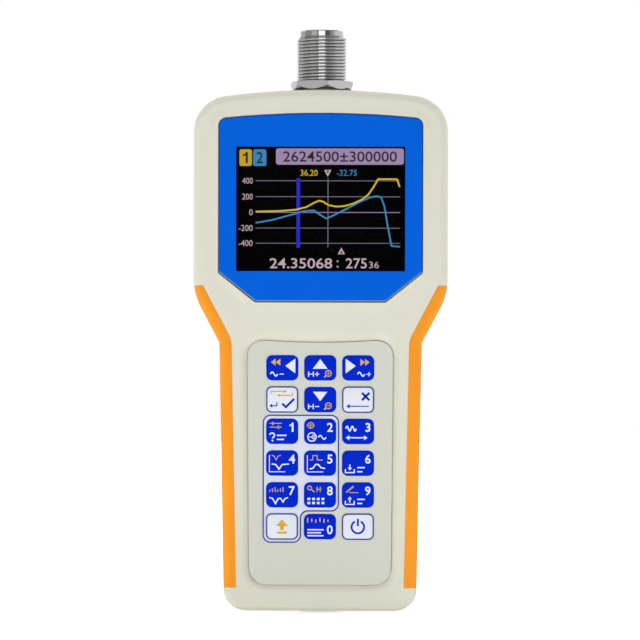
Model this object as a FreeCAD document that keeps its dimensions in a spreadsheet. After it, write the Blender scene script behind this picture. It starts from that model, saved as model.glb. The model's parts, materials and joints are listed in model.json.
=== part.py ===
"""Handheld antenna analyzer with an N socket, a colour screen and eighteen keys.

The origin is on the flat bottom of the housing, midway across and at the joint between the
two shells. Z points up to the socket, X to the right of someone who looks at the screen, and
the screen faces -Y. All lengths are millimetres, and every angle is in degrees.
"""
import FreeCAD, Part
import math
import os
import re

import Sketcher

SIZES = [
    # keys and the keypad overlay, from the bottom up
    ("key_width", 10.2, "key"),
    ("key_height", 8.06, "key"),
    ("key_cut", 1.05, "cut off a key's corners, across and up"),
    ("key_across", 12.1, "step from key to key, across"),
    ("key_up", 10.12, "step from key to key, up"),
    ("key_proud", 0.15, "how far a key stands out of the overlay"),
    ("key_gap", 0.08, "gap round a key"),
    ("key_travel", 0.3, "how far a key goes in"),
    ("key_spare", 0.05, "room left behind a key that is pressed home"),
    ("stem_width", 4.4, "stem behind a key"),
    ("stem_height", 3.6, "stem behind a key"),
    ("stem_gap", 0.5, "gap round the stem in the front wall"),
    ("dome_width", 7.0, "snap dome on the board"),
    ("dome_height", 0.35, "snap dome on the board"),
    ("overlay_bottom", 9.1, "height of the overlay's lower edge"),
    ("keypad_foot", 18.55, "overlay's lower edge to the middle of the lowest keys"),
    ("keypad_head", 5.12, "highest keys to the overlay's upper corners"),
    ("keypad_side", 6.1, "outer keys to the overlay's edge at its top"),
    ("overlay_taper", 1.4, "how much narrower the overlay is at its bottom"),
    ("overlay_dip", 1.1, "how far the overlay's upper edge dips"),
    ("overlay_corner", 5.6, "radius of the overlay's corners"),
    ("overlay_thick", 0.6, "thickness of the overlay"),
    ("overlay_gap", 0.25, "gap round the overlay"),
    ("recess_depth", 0.9, "recess of the keypad below the flat face"),
    ("recess_slope", 2.7, "width of the recess's sloped sides"),
    ("recess_sag", 1.6, "how far the recess's lower edge bows down"),
    # screen and display lens
    ("window_width", 53.9, "lit area that shows through the lens"),
    ("window_height", 39.7, "lit area that shows through the lens"),
    ("window_margin", 0.5, "opening in the shell past the lit area"),
    ("glass_margin", 2.6, "glass past the lit area"),
    ("glass_thick", 0.8, "screen glass"),
    ("light_thick", 0.6, "backlight behind the glass"),
    ("screen_gap", 0.1, "gap between the screen and the front wall"),
    ("frame_rim", 1.5, "width of the frame round the glass"),
    ("frame_gap", 0.1, "gap between the glass and its frame"),
    ("lens_foot", 12.0, "overlay's upper corners to the lens's lower edge"),
    ("lens_below", 9.65, "lens under the lit area"),
    ("lens_above", 10.65, "lens over the lit area"),
    ("lens_side", 5.6, "lens beside the lit area"),
    ("lens_rise", 1.7, "how far the lens's upper edge arches up"),
    ("lens_cut_across", 11.7, "lower corners cut off, measured across"),
    ("lens_cut_up", 9.3, "lower corners cut off, measured up"),
    ("lens_corner", 2.6, "radius of the lens's upper corners"),
    ("lens_cut_corner", 1.2, "radius at the ends of the cut corners"),
    ("lens_thick", 1.4, "thickness of the lens"),
    ("lens_gap", 0.15, "gap round the lens"),
    ("lens_bevel", 0.25, "bevel round the front of the lens"),
    ("tape_thick", 0.15, "adhesive frame behind the lens"),
    ("tape_width", 2.0, "width of the adhesive frame"),
    ("rim_height", 0.5, "how far the rim stands out of the flat face"),
    ("rim_side", 3.2, "width of the rim's slope beside the lens"),
    ("rim_top", 2.4, "width of the rim's slope over the lens"),
    ("rim_bottom", 4.0, "width of the rim's slope under the lens"),
    ("rim_sag", 2.2, "how far the rim's lower edge bows down"),
    ("rim_crest", 0.35, "flat top of the rim beside the lens"),
    # housing, seen from the front
    ("head_side", 8.0, "housing beside the lens"),
    ("lens_head", 7.6, "lens's upper edge to the top of the housing"),
    ("top_rise", 3.5, "how far the top arches up over the head's width"),
    ("handle_side", 9.0, "housing beside the overlay at the top of the handle"),
    ("handle_taper", 3.2, "how much narrower the handle is at the level of the bottom"),
    ("waist_drop", 13.2, "top of the handle below the lens"),
    ("flare_height", 15.6, "height over which the handle flares to the head"),
    ("top_corner", 11.5, "radius of the two top corners"),
    ("shoulder_radius", 20.0, "radius where the flare meets the head"),
    ("waist_radius", 4.0, "radius where the flare meets the handle"),
    ("foot_corner", 7.2, "radius of the two bottom corners"),
    # housing, front to back
    ("front_depth", 16.0, "joint of the shells to the raised rim round the lens"),
    ("rear_depth", 16.0, "joint of the shells to the back"),
    ("front_edge", 2.6, "radius round the front"),
    ("rear_bevel", 2.2, "bevel round the back"),
    ("wall", 2.2, "side walls of both shells"),
    ("face_wall", 2.4, "front wall behind the flat face"),
    ("back_wall", 2.2, "back wall"),
    ("seam_width", 0.4, "groove round the joint of the shells"),
    ("seam_depth", 0.3, "groove round the joint of the shells"),
    # soft side grips, set flush into both shells
    ("grip_depth", 1.4, "thickness of the grips"),
    ("grip_reach", 4.0, "how far a grip wraps on to the front and the back"),
    ("grip_foot", 0.9, "bottom corner's end to a grip's lower end"),
    ("grip_head", 2.7, "shoulder to a grip's upper end"),
    # circuit board and what it carries
    ("board_thick", 1.6, "circuit board"),
    ("board_gap", 0.6, "gap between the board and the walls"),
    ("board_corner", 2.0, "radius of the board's corners"),
    ("board_head", 0.5, "board past the socket's contact"),
    ("shield_width", 44.0, "screening can over the radio circuit"),
    ("shield_height", 30.0, "screening can over the radio circuit"),
    ("shield_lift", 5.1, "middle of the screen to the can's middle"),
    ("shield_thick", 4.5, "how far the can stands off the board"),
    ("shield_wall", 0.4, "sheet of the can"),
    ("buzzer_radius", 6.0, "buzzer"),
    ("buzzer_thick", 5.0, "buzzer"),
    ("buzzer_side", 17.0, "buzzer left of the middle"),
    ("buzzer_drop", 8.05, "lit area to the buzzer's middle"),
    # screws
    ("post_width", 6.4, "screw posts of the front shell"),
    ("post_gap", 0.4, "gap between the board and a post"),
    ("post_root", 0.6, "how far posts and studs reach into the front wall"),
    ("upper_post_inset", 7.4, "upper posts from the head's sides"),
    ("upper_post_drop", 10.0, "upper posts below the top of the housing"),
    ("lower_post_inset", 7.7, "lower posts from the handle's sides"),
    ("lower_post_up", 12.0, "height of the lower posts"),
    ("screw_width", 2.6, "shank of a housing screw"),
    ("screw_head_width", 5.0, "head of a housing screw"),
    ("screw_head_thick", 1.9, "head of a housing screw"),
    ("screw_grip", 8.0, "how far a housing screw goes into the front shell"),
    ("screw_gap", 0.25, "gap round the shank in the rear shell"),
    ("sink_radius", 3.0, "hole that sinks a screw head"),
    ("sink_wall", 1.0, "wall round that hole"),
    ("sink_floor", 6.5, "floor of that hole to the joint of the shells"),
    ("stud_width", 4.6, "studs that carry the board"),
    ("board_screw_width", 1.8, "shank of a board screw"),
    ("board_screw_head", 3.8, "head of a board screw"),
    ("board_screw_thick", 1.3, "head of a board screw"),
    ("board_screw_bite", 2.4, "how far a board screw goes into its stud"),
    ("stud_side", 25.0, "board screws from the middle"),
    ("stud_drop", 11.35, "board screws below the screen's frame"),
    # N socket
    ("thread_radius", 7.9375, "5/8 inch thread of the socket"),
    ("shank_radius", 7.6, "socket's shank where the nut's thread and its own meet"),
    ("thread_relief", 0.5, "nut to the thread's lower end"),
    ("thread_reach", 17.9, "housing to the thread's upper end"),
    ("nose_radius", 7.0, "plain nose above the thread"),
    ("nose_length", 2.1, "plain nose above the thread"),
    ("socket_bore", 4.2, "radius of the socket's bore"),
    ("socket_bore_depth", 9.0, "free depth of the bore"),
    ("contact_radius", 1.52, "centre contact"),
    ("contact_hole", 0.8, "radius of the hole in the centre contact"),
    ("contact_hole_depth", 5.0, "depth of that hole"),
    ("contact_slot", 0.3, "width of the slots in the centre contact"),
    ("contact_slot_depth", 4.0, "length of those slots"),
    ("contact_sink", 4.6, "mouth of the socket to the tip of the contact"),
    ("contact_tail", 3.0, "contact below the socket's flange"),
    ("flange_radius", 9.5, "flange inside the housing"),
    ("flange_thick", 2.5, "flange inside the housing"),
    ("seat_width", 21.0, "flat pad that the flange bears on"),
    ("seat_wall", 2.5, "wall that the socket clamps"),
    ("spot_depth", 0.3, "flat spot in the arched top"),
    ("spot_radius", 11.2, "flat spot in the arched top"),
    ("panel_gap", 0.1, "gap round the thread in the housing"),
    ("washer_radius", 9.6, "lock washer"),
    ("washer_thick", 0.9, "lock washer"),
    ("nut_flats", 18.3, "nut, across its flats"),
    ("nut_thick", 3.2, "nut"),
    ("nut_turn", 11.5, "angle that the nut was left at"),
    ("strip_width", 2.4, "copper strip from the contact to the board"),
    ("strip_thick", 0.3, "copper strip from the contact to the board"),
    ("strip_drop", 2.0, "how far the strip drops on its way to the board"),
    ("strip_foot", 3.0, "part of the strip that lies on the board"),
    ("strip_bend", 0.6, "inner radius of the strip's bend"),
    # batteries
    ("cell_radius", 7.15, "AA cell"),
    ("cell_length", 50.5, "AA cell with its nub"),
    ("nub_radius", 2.75, "nub of a cell"),
    ("nub_height", 1.3, "nub of a cell"),
    ("cell_gap", 0.5, "gap between the cells, and from a cell to a wall"),
    ("bay_bottom", 20.0, "height of the battery bay's lower end"),
    ("bay_wall", 1.3, "walls of the battery bay"),
    ("plate_thick", 0.4, "battery contact plates"),
    ("plate_width", 10.0, "battery contact plates"),
    ("spring_length", 3.6, "battery spring with a cell in place"),
    ("spring_width", 5.0, "leaf of a battery spring"),
    ("spring_reach", 8.0, "battery spring, across"),
    ("spring_thick", 0.4, "leaf of a battery spring"),
    # battery cover
    ("cover_thick", 2.0, "battery cover"),
    ("cover_gap", 0.25, "gap round the cover"),
    ("cover_ledge", 1.8, "ledge that carries the cover"),
    ("cover_end_ledge", 3.4, "ledge at the cover's latch end"),
    ("cover_corner", 2.0, "radius of the cover's corners"),
    ("cover_rim", 1.4, "rim moulded round the opening, inside"),
    ("cover_rim_depth", 4.6, "depth of that rim below the back"),
    ("hook_width", 6.0, "hooks at the cover's lower end"),
    ("hook_side", 9.0, "hooks from the middle"),
    ("hook_reach", 1.5, "how far a hook goes under the shell"),
    ("hook_skin", 0.95, "back of the shell to the top of a hook"),
    ("hook_thick", 0.8, "thickness of a hook"),
    ("hook_gap", 0.25, "gap round a hook"),
    ("hook_sweep", 0.75, "room under a hook for its swing"),
    ("tongue_width", 11.0, "springy tongue of the cover's latch"),
    ("tongue_length", 10.0, "springy tongue of the cover's latch"),
    ("tongue_slot", 0.9, "slots beside the tongue"),
    ("scoop_width", 12.0, "finger scoop above the latch"),
    ("scoop_length", 3.6, "finger scoop above the latch"),
    ("scoop_depth", 1.3, "finger scoop above the latch"),
    ("rib_width", 1.0, "grip ribs on the cover"),
    ("rib_step", 2.0, "grip ribs on the cover"),
    ("rib_count", 3, "grip ribs on the cover"),
    ("rib_proud", 0.4, "depth of the grooves between the ribs"),
    # USB type B socket in the bottom
    ("usb_width", 12.0, "socket's metal case"),
    ("usb_thick", 10.9, "socket's metal case"),
    ("usb_length", 16.0, "socket's metal case"),
    ("usb_wall", 0.35, "sheet of the case"),
    ("usb_sink", 0.5, "bottom of the housing to the socket's mouth"),
    ("usb_gap", 0.3, "gap round the socket in the housing"),
    ("usb_mouth_width", 8.6, "opening for the plug"),
    ("usb_mouth_thick", 7.9, "opening for the plug"),
    ("usb_mouth_depth", 9.2, "opening for the plug"),
    ("usb_mouth_cut", 1.6, "bevel on two corners of that opening"),
    ("usb_tongue_width", 5.6, "tongue in the opening"),
    ("usb_tongue_thick", 3.1, "tongue in the opening"),
    ("usb_tongue_sink", 1.0, "mouth to the tip of the tongue"),
]

KEYS = [
    ["key_function", "key_0", "key_power"],
    ["key_7", "key_8", "key_9"],
    ["key_4", "key_5", "key_6"],
    ["key_1", "key_2", "key_3"],
    ["key_ok", "key_down", "key_cancel"],
    ["key_left", "key_up", "key_right"],
]

# Sizes and heights that follow from the ones above.
WORKED_OUT = {
    "lens_width": "window_width + 2 * lens_side",
    "head_width": "lens_width + 2 * head_side",
    "overlay_top_width": "2 * key_across + key_width + 2 * keypad_side",
    "overlay_foot_width": "overlay_top_width - overlay_taper",
    "waist_width": "overlay_top_width + 2 * handle_side",
    "foot_width": "waist_width - handle_taper",
    "key_row": "overlay_bottom + keypad_foot",
    "overlay_top": f"key_row + {len(KEYS) - 1} * key_up + key_height / 2 + keypad_head",
    "lens_bottom": "overlay_top + lens_foot",
    "window_bottom": "lens_bottom + lens_below",
    "window_middle": "window_bottom + window_height / 2",
    "lens_top": "window_bottom + window_height + lens_above",
    "body_height": "lens_top + lens_head",
    "waist_height": "lens_bottom - waist_drop",
    "shoulder_height": "waist_height + flare_height",
    "grip_bottom": "foot_corner + grip_foot",
    "grip_top": "shoulder_height + grip_head",
    "face": "front_depth - rim_height",
    "inner_face": "face - face_wall",
    "recess_floor": "face - recess_depth",
    "overlay_front": "recess_floor + overlay_thick",
    "board_front": "inner_face - screen_gap - glass_thick - light_thick",
    "board_back": "board_front - board_thick",
    "stem_end": "board_front + dome_height + key_travel + key_spare",
    "flare": "(head_width - waist_width) / 2 / flare_height",
    "flare_shift": "(sqrt(1 + flare ^ 2) - 1) / flare",
    "seat_top": "body_height - spot_depth",
    "seat_under": "seat_top - seat_wall",
    "flange_under": "seat_under - flange_thick",
    "tail_height": "flange_under - contact_tail",
    "nut_bottom": "seat_top + washer_thick",
    "nut_top": "nut_bottom + nut_thick",
    "thread_top": "seat_top + thread_reach",
    "socket_top": "thread_top + nose_length",
    "bore_floor": "socket_top - socket_bore_depth",
    "contact_tip": "socket_top - contact_sink",
    "board_top": "tail_height + board_head",
    "shield_middle": "window_middle + shield_lift",
    "buzzer_up": "window_bottom - buzzer_drop",
    "stud_up": "window_bottom - glass_margin - frame_gap - frame_rim - stud_drop",
    "upper_post_side": "head_width / 2 - upper_post_inset",
    "upper_post_up": "body_height - upper_post_drop",
    "lower_post_side": "foot_width / 2 - lower_post_inset",
    "bay_half": "2 * cell_radius + 1.5 * cell_gap",
    "bay_top": "bay_bottom + cell_length + spring_length + 2 * plate_thick",
    "bay_floor": "rear_depth - cover_thick - 2 * cell_radius - 2 * cell_gap",
    "cell_depth": "bay_floor + cell_gap + cell_radius",
    "cell_side": "cell_radius + cell_gap / 2",
    "cover_half": "bay_half + cover_ledge",
    "cover_bottom": "bay_bottom - cover_ledge",
    "cover_top": "bay_top + cover_end_ledge",
}

doc = FreeCAD.newDocument("AntennaAnalyzer")
sheet = doc.addObject("Spreadsheet::Sheet", "Sizes")
for row, (alias, number, meaning) in enumerate(SIZES, start=1):
    sheet.set(f"A{row}", str(number))
    sheet.setAlias(f"A{row}", alias)
    sheet.set(f"B{row}", meaning)
doc.recompute()


def any_of(names):
    """A pattern that finds any of these names as a whole word."""
    return re.compile(r"\b(" + "|".join(names) + r")\b")


ALIASES = any_of(alias for alias, _, _ in SIZES)
WORKED_OUT_NAMES = any_of(WORKED_OUT)


# ---------------------------------------------------------------- working with the sheet

def spelled_out(formula):
    """The formula with what is worked out replaced by what it is worked out from."""
    while WORKED_OUT_NAMES.search(formula):
        formula = WORKED_OUT_NAMES.sub(lambda found: f"({WORKED_OUT[found.group()]})", formula)
    return formula


def sized(formula):
    """A formula over size names, written so that any object of the document can read it."""
    return ALIASES.sub(r"Sizes.\1", spelled_out(formula))


def number(formula):
    """The present value of a formula over size names."""
    return float(sheet.evalExpression(spelled_out(formula)))


def bind(target, **formulas):
    """Binds properties of an object; a double underscore stands for a dot."""
    for prop, formula in formulas.items():
        target.setExpression(prop.replace("__", "."), sized(formula))


# ---------------------------------------------------------------- sketches

def new_body(name):
    body = doc.addObject("PartDesign::Body", name)
    body.Label = name
    return body


def sketch_on(body, name, role, offset="0"):
    """A sketch on one of the body's own planes, moved along that plane's normal by offset.

    XZ_Plane faces the front: its sketches read X across and Z up, and offset counts forward.
    """
    plane = next(item for item in body.Origin.OriginFeatures if item.Role == role)
    sketch = body.newObject("Sketcher::SketchObject", name)
    sketch.AttachmentSupport = [(plane, "")]
    sketch.MapMode = "FlatFace"
    bind(sketch, AttachmentOffset__Base__z=offset)
    return sketch


def pin_point(sketch, geometry, position, across, up):
    """Holds a point of the sketch at two formulas, measured from the sketch's origin."""
    for kind, formula, axis in (("DistanceX", across, -2), ("DistanceY", up, -1)):
        if formula == "0":
            sketch.addConstraint(Sketcher.Constraint("PointOnObject", geometry, position, axis))
            continue
        index = sketch.addConstraint(
            Sketcher.Constraint(kind, -1, 1, geometry, position, number(formula)))
        sketch.setExpression(f"Constraints[{index}]", sized(formula))


def set_radius(sketch, geometry, formula):
    index = sketch.addConstraint(Sketcher.Constraint("Radius", geometry, number(formula)))
    sketch.setExpression(f"Constraints[{index}]", sized(formula))


def draw_circles(sketch, circles):
    for across, up, radius in circles:
        centre = FreeCAD.Vector(number(across), number(up), 0)
        circle = Part.Circle(centre, FreeCAD.Vector(0, 0, 1), number(radius))
        geometry = sketch.addGeometry(circle, False)
        pin_point(sketch, geometry, 3, across, up)
        set_radius(sketch, geometry, radius)


class Side:
    """One side of an outline: a straight line, or an arc that rises out of the chord."""

    def __init__(self, start, end, rise):
        self.start, self.end, self.rise = start, end, rise
        chord = end - start
        self.along = FreeCAD.Vector(chord).normalize()
        outward = FreeCAD.Vector(self.along.y, -self.along.x, 0)
        self.radius = None
        self.start_way = self.end_way = self.along
        if rise:
            self.radius = chord.Length ** 2 / (8 * abs(rise)) + abs(rise) / 2
            middle = (start + end) * 0.5
            self.centre = middle + outward * (rise - math.copysign(self.radius, rise))
            self.start_way = self.way_at(start)
            self.end_way = self.way_at(end)

    def way_at(self, point):
        spoke = (point - self.centre).normalize()
        turn = math.copysign(1, self.rise)
        return FreeCAD.Vector(-spoke.y * turn, spoke.x * turn, 0)

    def angle_at(self, point):
        spoke = point - self.centre
        return math.atan2(spoke.y, spoke.x)

    def geometry(self, first, last):
        """The side between two points, and which of its ends comes first."""
        if not self.rise:
            return Part.LineSegment(first, last), 1, 2
        circle = Part.Circle(self.centre, FreeCAD.Vector(0, 0, 1), self.radius)
        if self.rise > 0:
            return Part.ArcOfCircle(circle, self.angle_at(first), self.angle_at(last)), 1, 2
        return Part.ArcOfCircle(circle, self.angle_at(last), self.angle_at(first)), 2, 1


def draw_outline(sketch, corners):
    """A closed outline, anticlockwise, of lines and arcs.

    Each corner is (across, up, radius, rise): where the two sides would meet, the radius that
    rounds it, and how far the side after it bows outward. "0" leaves a corner sharp or a side
    straight.
    """
    count = len(corners)
    points = [FreeCAD.Vector(number(c[0]), number(c[1]), 0) for c in corners]
    sides = []
    for i, corner in enumerate(corners):
        sides.append(Side(points[i], points[(i + 1) % count], number(corner[3])))
    trims = []
    for i, corner in enumerate(corners):
        before, after = sides[i - 1].end_way, sides[i].start_way
        turn = math.atan2(before.x * after.y - before.y * after.x, before.dot(after))
        radius = number(corner[2])
        reach = radius * math.tan(abs(turn) / 2)
        trims.append((points[i] - before * reach, points[i] + after * reach, turn, radius, before))
    ends = []
    for i, side in enumerate(sides):
        shape, first, last = side.geometry(trims[i][1], trims[(i + 1) % count][0])
        ends.append((sketch.addGeometry(shape, False), first, last))
    for i, (across, up, radius, rise) in enumerate(corners):
        point = sketch.addGeometry(Part.Point(points[i]), True)
        pin_point(sketch, point, 1, across, up)
        incoming, outgoing = ends[i - 1], ends[i]
        if radius == "0":
            sketch.addConstraint(Sketcher.Constraint("Coincident", incoming[0], incoming[2], point, 1))
            sketch.addConstraint(Sketcher.Constraint("Coincident", outgoing[0], outgoing[1], point, 1))
        else:
            sketch.addConstraint(Sketcher.Constraint("PointOnObject", point, 1, incoming[0]))
            sketch.addConstraint(Sketcher.Constraint("PointOnObject", point, 1, outgoing[0]))
            round_corner(sketch, trims[i], incoming, outgoing, radius)
    for i, (across, up, radius, rise) in enumerate(corners):
        if rise != "0":
            after = corners[(i + 1) % count]
            chord = f"(({after[0]} - ({across})) ^ 2 + ({after[1]} - ({up})) ^ 2)"
            set_radius(sketch, ends[i][0], f"{chord} / (8 * abs({rise})) + abs({rise}) / 2")


def round_corner(sketch, trim, incoming, outgoing, radius):
    first, last, turn, size, before = trim
    left = math.copysign(1, turn)
    centre = first + FreeCAD.Vector(-before.y, before.x, 0) * (size * left)
    circle = Part.Circle(centre, FreeCAD.Vector(0, 0, 1), size)
    angles = [math.atan2((p - centre).y, (p - centre).x) for p in (first, last)]
    entry, leave = (1, 2) if turn > 0 else (2, 1)
    if turn < 0:
        angles.reverse()
    arc = sketch.addGeometry(Part.ArcOfCircle(circle, *angles), False)
    sketch.addConstraint(Sketcher.Constraint("Tangent", incoming[0], incoming[2], arc, entry))
    sketch.addConstraint(Sketcher.Constraint("Tangent", arc, leave, outgoing[0], outgoing[1]))
    set_radius(sketch, arc, radius)


def mirrored(right, top_rise="0", bottom_rise="0"):
    """A left-right symmetric outline from its right-hand corners, listed from the bottom up."""
    corners = [list(corner) for corner in right]
    corners[-1][3] = top_rise
    rises = [corner[3] for corner in right[:-1]] + ["0"]
    for i in range(len(right) - 1, -1, -1):
        rise = rises[i - 1] if i else bottom_rise
        corners.append([f"-({right[i][0]})", right[i][1], right[i][2], rise])
    return corners


def rectangle(half_width, bottom, top, radius="0"):
    return mirrored([(half_width, bottom, radius, "0"), (half_width, top, radius, "0")])


def block(left, right, bottom, top, radius="0"):
    return [(right, bottom, radius, "0"), (right, top, radius, "0"),
            (left, top, radius, "0"), (left, bottom, radius, "0")]


def centred(across, up, half_width, half_height, cut="0"):
    """A rectangle round a point, or one with its corners cut off."""
    left, right = f"({across} - {half_width})", f"({across} + {half_width})"
    bottom, top = f"({up} - {half_height})", f"({up} + {half_height})"
    if cut == "0":
        return block(left, right, bottom, top)
    points = [(right, f"({bottom} + {cut})"), (right, f"({top} - {cut})"),
              (f"({right} - {cut})", top), (f"({left} + {cut})", top),
              (left, f"({top} - {cut})"), (left, f"({bottom} + {cut})"),
              (f"({left} + {cut})", bottom), (f"({right} - {cut})", bottom)]
    return [point + ("0", "0") for point in points]


def draw_octagons(sketch, places, width):
    """Eight-sided outlines, this wide across their flats."""
    half = f"(({width}) / 2)"
    for across, up in places:
        draw_outline(sketch, centred(across, up, half, half, f"({half} * (2 - sqrt(2)))"))


# ---------------------------------------------------------------- features

def pad(body, name, sketch, length, backward=False):
    feature = body.newObject("PartDesign::Pad", name)
    feature.Profile = sketch
    feature.Reversed = backward
    bind(feature, Length=length)
    return feature


def pocket(body, name, sketch, length, forward=False):
    """A pocket that goes against its sketch's normal, or along it when forward is set."""
    feature = body.newObject("PartDesign::Pocket", name)
    feature.Profile = sketch
    feature.Reversed = forward
    bind(feature, Length=length)
    return feature


def face_at(feature, axis, position):
    """Name of the feature's largest flat face that lies at this position along an axis."""
    best, best_area = None, 0
    for i, face in enumerate(feature.Shape.Faces, start=1):
        box = face.BoundBox
        low, high = getattr(box, axis + "Min"), getattr(box, axis + "Max")
        if abs(low - position) < 1e-4 and abs(high - position) < 1e-4 and face.Area > best_area:
            best, best_area = f"Face{i}", face.Area
    if best is None:
        raise RuntimeError(f"{feature.Label} has no face at {axis} = {position}")
    return best


def round_face(body, name, feature, axis, position, radius):
    """Rounds every edge of one flat face."""
    doc.recompute()
    fillet = body.newObject("PartDesign::Fillet", name)
    fillet.Base = (feature, [face_at(feature, axis, number(position))])
    bind(fillet, Radius=radius)
    return fillet


def bevel_face(body, name, feature, axis, position, size):
    """Bevels every edge of one flat face."""
    doc.recompute()
    chamfer = body.newObject("PartDesign::Chamfer", name)
    chamfer.Base = (feature, [face_at(feature, axis, number(position))])
    bind(chamfer, Size=size)
    return chamfer


def box_solid(name, x, y, z):
    """A Part::Box between three pairs of formulas."""
    solid = doc.addObject("Part::Box", name)
    solid.Label = name
    bind(solid, Length=f"{x[1]} - ({x[0]})", Width=f"{y[1]} - ({y[0]})", Height=f"{z[1]} - ({z[0]})",
         Placement__Base__x=x[0], Placement__Base__y=y[0], Placement__Base__z=z[0])
    return solid


def cylinder_solid(name, radius, x, y, z):
    """An upright Part::Cylinder at x, y between a pair of heights."""
    solid = doc.addObject("Part::Cylinder", name)
    solid.Label = name
    bind(solid, Radius=radius, Height=f"{z[1]} - ({z[0]})",
         Placement__Base__x=x, Placement__Base__y=y, Placement__Base__z=z[0])
    return solid


def combine(kind, name, *members):
    """Part::Cut or Part::Common of two objects, or Part::MultiFuse of several."""
    result = doc.addObject("Part::" + kind, name)
    result.Label = name
    if kind == "MultiFuse":
        result.Shapes = list(members)
    else:
        result.Base, result.Tool = members
    return result


# ---------------------------------------------------------------- shared places

OVERRUN = "1"  # how far a cut runs past the faces it goes through
UPPER_POSTS = [("upper_post_side", "upper_post_up"), ("-upper_post_side", "upper_post_up")]
LOWER_POSTS = [("lower_post_side", "lower_post_up"), ("-lower_post_side", "lower_post_up")]
POSTS = UPPER_POSTS + LOWER_POSTS
STUDS = [("stud_side", "stud_up"), ("-stud_side", "stud_up")]


def key_place(row, column):
    across = ("-key_across", "0", "key_across")[column]
    return across, f"key_row + {row} * key_up"


def housing_outline(head="0", handle="0", top="0", floor="0"):
    """The housing from the front, drawn in from its head, handle, top and floor."""
    rise = f"(top_rise * ((head_width - 2 * ({head})) / head_width) ^ 2)"
    right = [
        (f"(foot_width / 2 - ({handle}))", floor, f"(foot_corner - ({handle}))", "0"),
        (f"(waist_width / 2 - ({handle}))", f"(waist_height + ({handle}) * flare_shift)",
         f"(waist_radius + ({handle}))", "0"),
        (f"(head_width / 2 - ({head}))", f"(shoulder_height + ({head}) * flare_shift)",
         f"(shoulder_radius - ({head}))", "0"),
        (f"(head_width / 2 - ({head}))", f"(body_height - ({top}) - {rise})",
         f"(top_corner - ({head}))", "0"),
    ]
    return mirrored(right, top_rise=rise)


def lens_outline(grow):
    """The lens from the front, grown all round."""
    bottom_shift = "tan(atan(lens_cut_up / lens_cut_across) / 2)"
    side_shift = "tan(atan(lens_cut_across / lens_cut_up) / 2)"
    right = [
        (f"(lens_width / 2 - lens_cut_across + ({grow}) * {bottom_shift})",
         f"(lens_bottom - ({grow}))", "lens_cut_corner", "0"),
        (f"(lens_width / 2 + ({grow}))", f"(lens_bottom + lens_cut_up - ({grow}) * {side_shift})",
         "lens_cut_corner", "0"),
        (f"(lens_width / 2 + ({grow}))", f"(lens_top - lens_rise + ({grow}))",
         f"(lens_corner + ({grow}))", "0"),
    ]
    return mirrored(right, top_rise="lens_rise")


def overlay_outline(grow):
    """The keypad overlay from the front, grown all round."""
    right = [
        (f"(overlay_foot_width / 2 + ({grow}))", f"(overlay_bottom - ({grow}))",
         f"(overlay_corner + ({grow}))", "0"),
        (f"(overlay_top_width / 2 + ({grow}))", f"(overlay_top + ({grow}))",
         f"(overlay_corner + ({grow}))", "0"),
    ]
    return mirrored(right, top_rise="-overlay_dip")


# ---------------------------------------------------------------- housing

def front_moulding():
    """Front shell before the grips and both sockets are let into it."""
    body = new_body("front_moulding")
    outline = sketch_on(body, "FrontOutline", "XZ_Plane")
    draw_outline(outline, housing_outline())
    block_pad = pad(body, "FrontBlock", outline, "face")
    round_face(body, "FrontEdge", block_pad, "Y", "-face", "front_edge")

    foot = sketch_on(body, "RimFoot", "XZ_Plane", "face")
    draw_outline(foot, rim_outline())
    crest = sketch_on(body, "RimCrest", "XZ_Plane", "front_depth")
    draw_outline(crest, lens_outline("lens_gap + rim_crest"))
    rim = body.newObject("PartDesign::AdditiveLoft", "Rim")
    rim.Profile = foot
    rim.Sections = [crest]
    rim.Ruled = True

    seat = sketch_on(body, "LensSeat", "XZ_Plane", "front_depth")
    draw_outline(seat, lens_outline("lens_gap"))
    pocket(body, "LensRecess", seat, "lens_thick + tape_thick")
    window = sketch_on(body, "WindowOutline", "XZ_Plane", "front_depth")
    draw_outline(window, window_outline("window_margin"))
    pocket(body, "Window", window, f"rim_height + face_wall + {OVERRUN}")

    mouth = sketch_on(body, "RecessMouth", "XZ_Plane", "face")
    draw_outline(mouth, recess_outline())
    floor = sketch_on(body, "RecessFloor", "XZ_Plane", "recess_floor")
    draw_outline(floor, overlay_outline("overlay_gap"))
    recess = body.newObject("PartDesign::SubtractiveLoft", "KeypadRecess")
    recess.Profile = mouth
    recess.Sections = [floor]
    recess.Ruled = True
    hole = sketch_on(body, "StemHole", "XZ_Plane", "recess_floor")
    draw_outline(hole, stem_outline(*key_place(0, 0), "stem_gap"))
    key_grid(body, "StemHoles", hole, pocket(body, "FirstStemHole", hole, "face_wall"))

    hollow = sketch_on(body, "FrontHollow", "XZ_Plane")
    draw_outline(hollow, housing_outline("wall", "wall + grip_depth", "wall", "wall"))
    pocket(body, "FrontCavity", hollow, "inner_face", forward=True)
    seat_half(body, "FrontSeat", front=True)

    posts = sketch_on(body, "FrontPosts", "XZ_Plane")
    draw_octagons(posts, POSTS, "post_width")
    pad(body, "Posts", posts, "inner_face + post_root")
    bores = sketch_on(body, "PostBores", "XZ_Plane")
    draw_octagons(bores, POSTS, "screw_width")
    pocket(body, "ScrewBores", bores, "screw_grip", forward=True)

    studs = sketch_on(body, "BoardStuds", "XZ_Plane", "board_front")
    draw_octagons(studs, STUDS, "stud_width")
    pad(body, "Studs", studs, "inner_face + post_root - board_front")
    pilots = sketch_on(body, "StudBores", "XZ_Plane", "board_front")
    draw_octagons(pilots, STUDS, "board_screw_width")
    body.Tip = pocket(body, "PilotBores", pilots, "board_screw_bite", forward=True)
    return body


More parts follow.
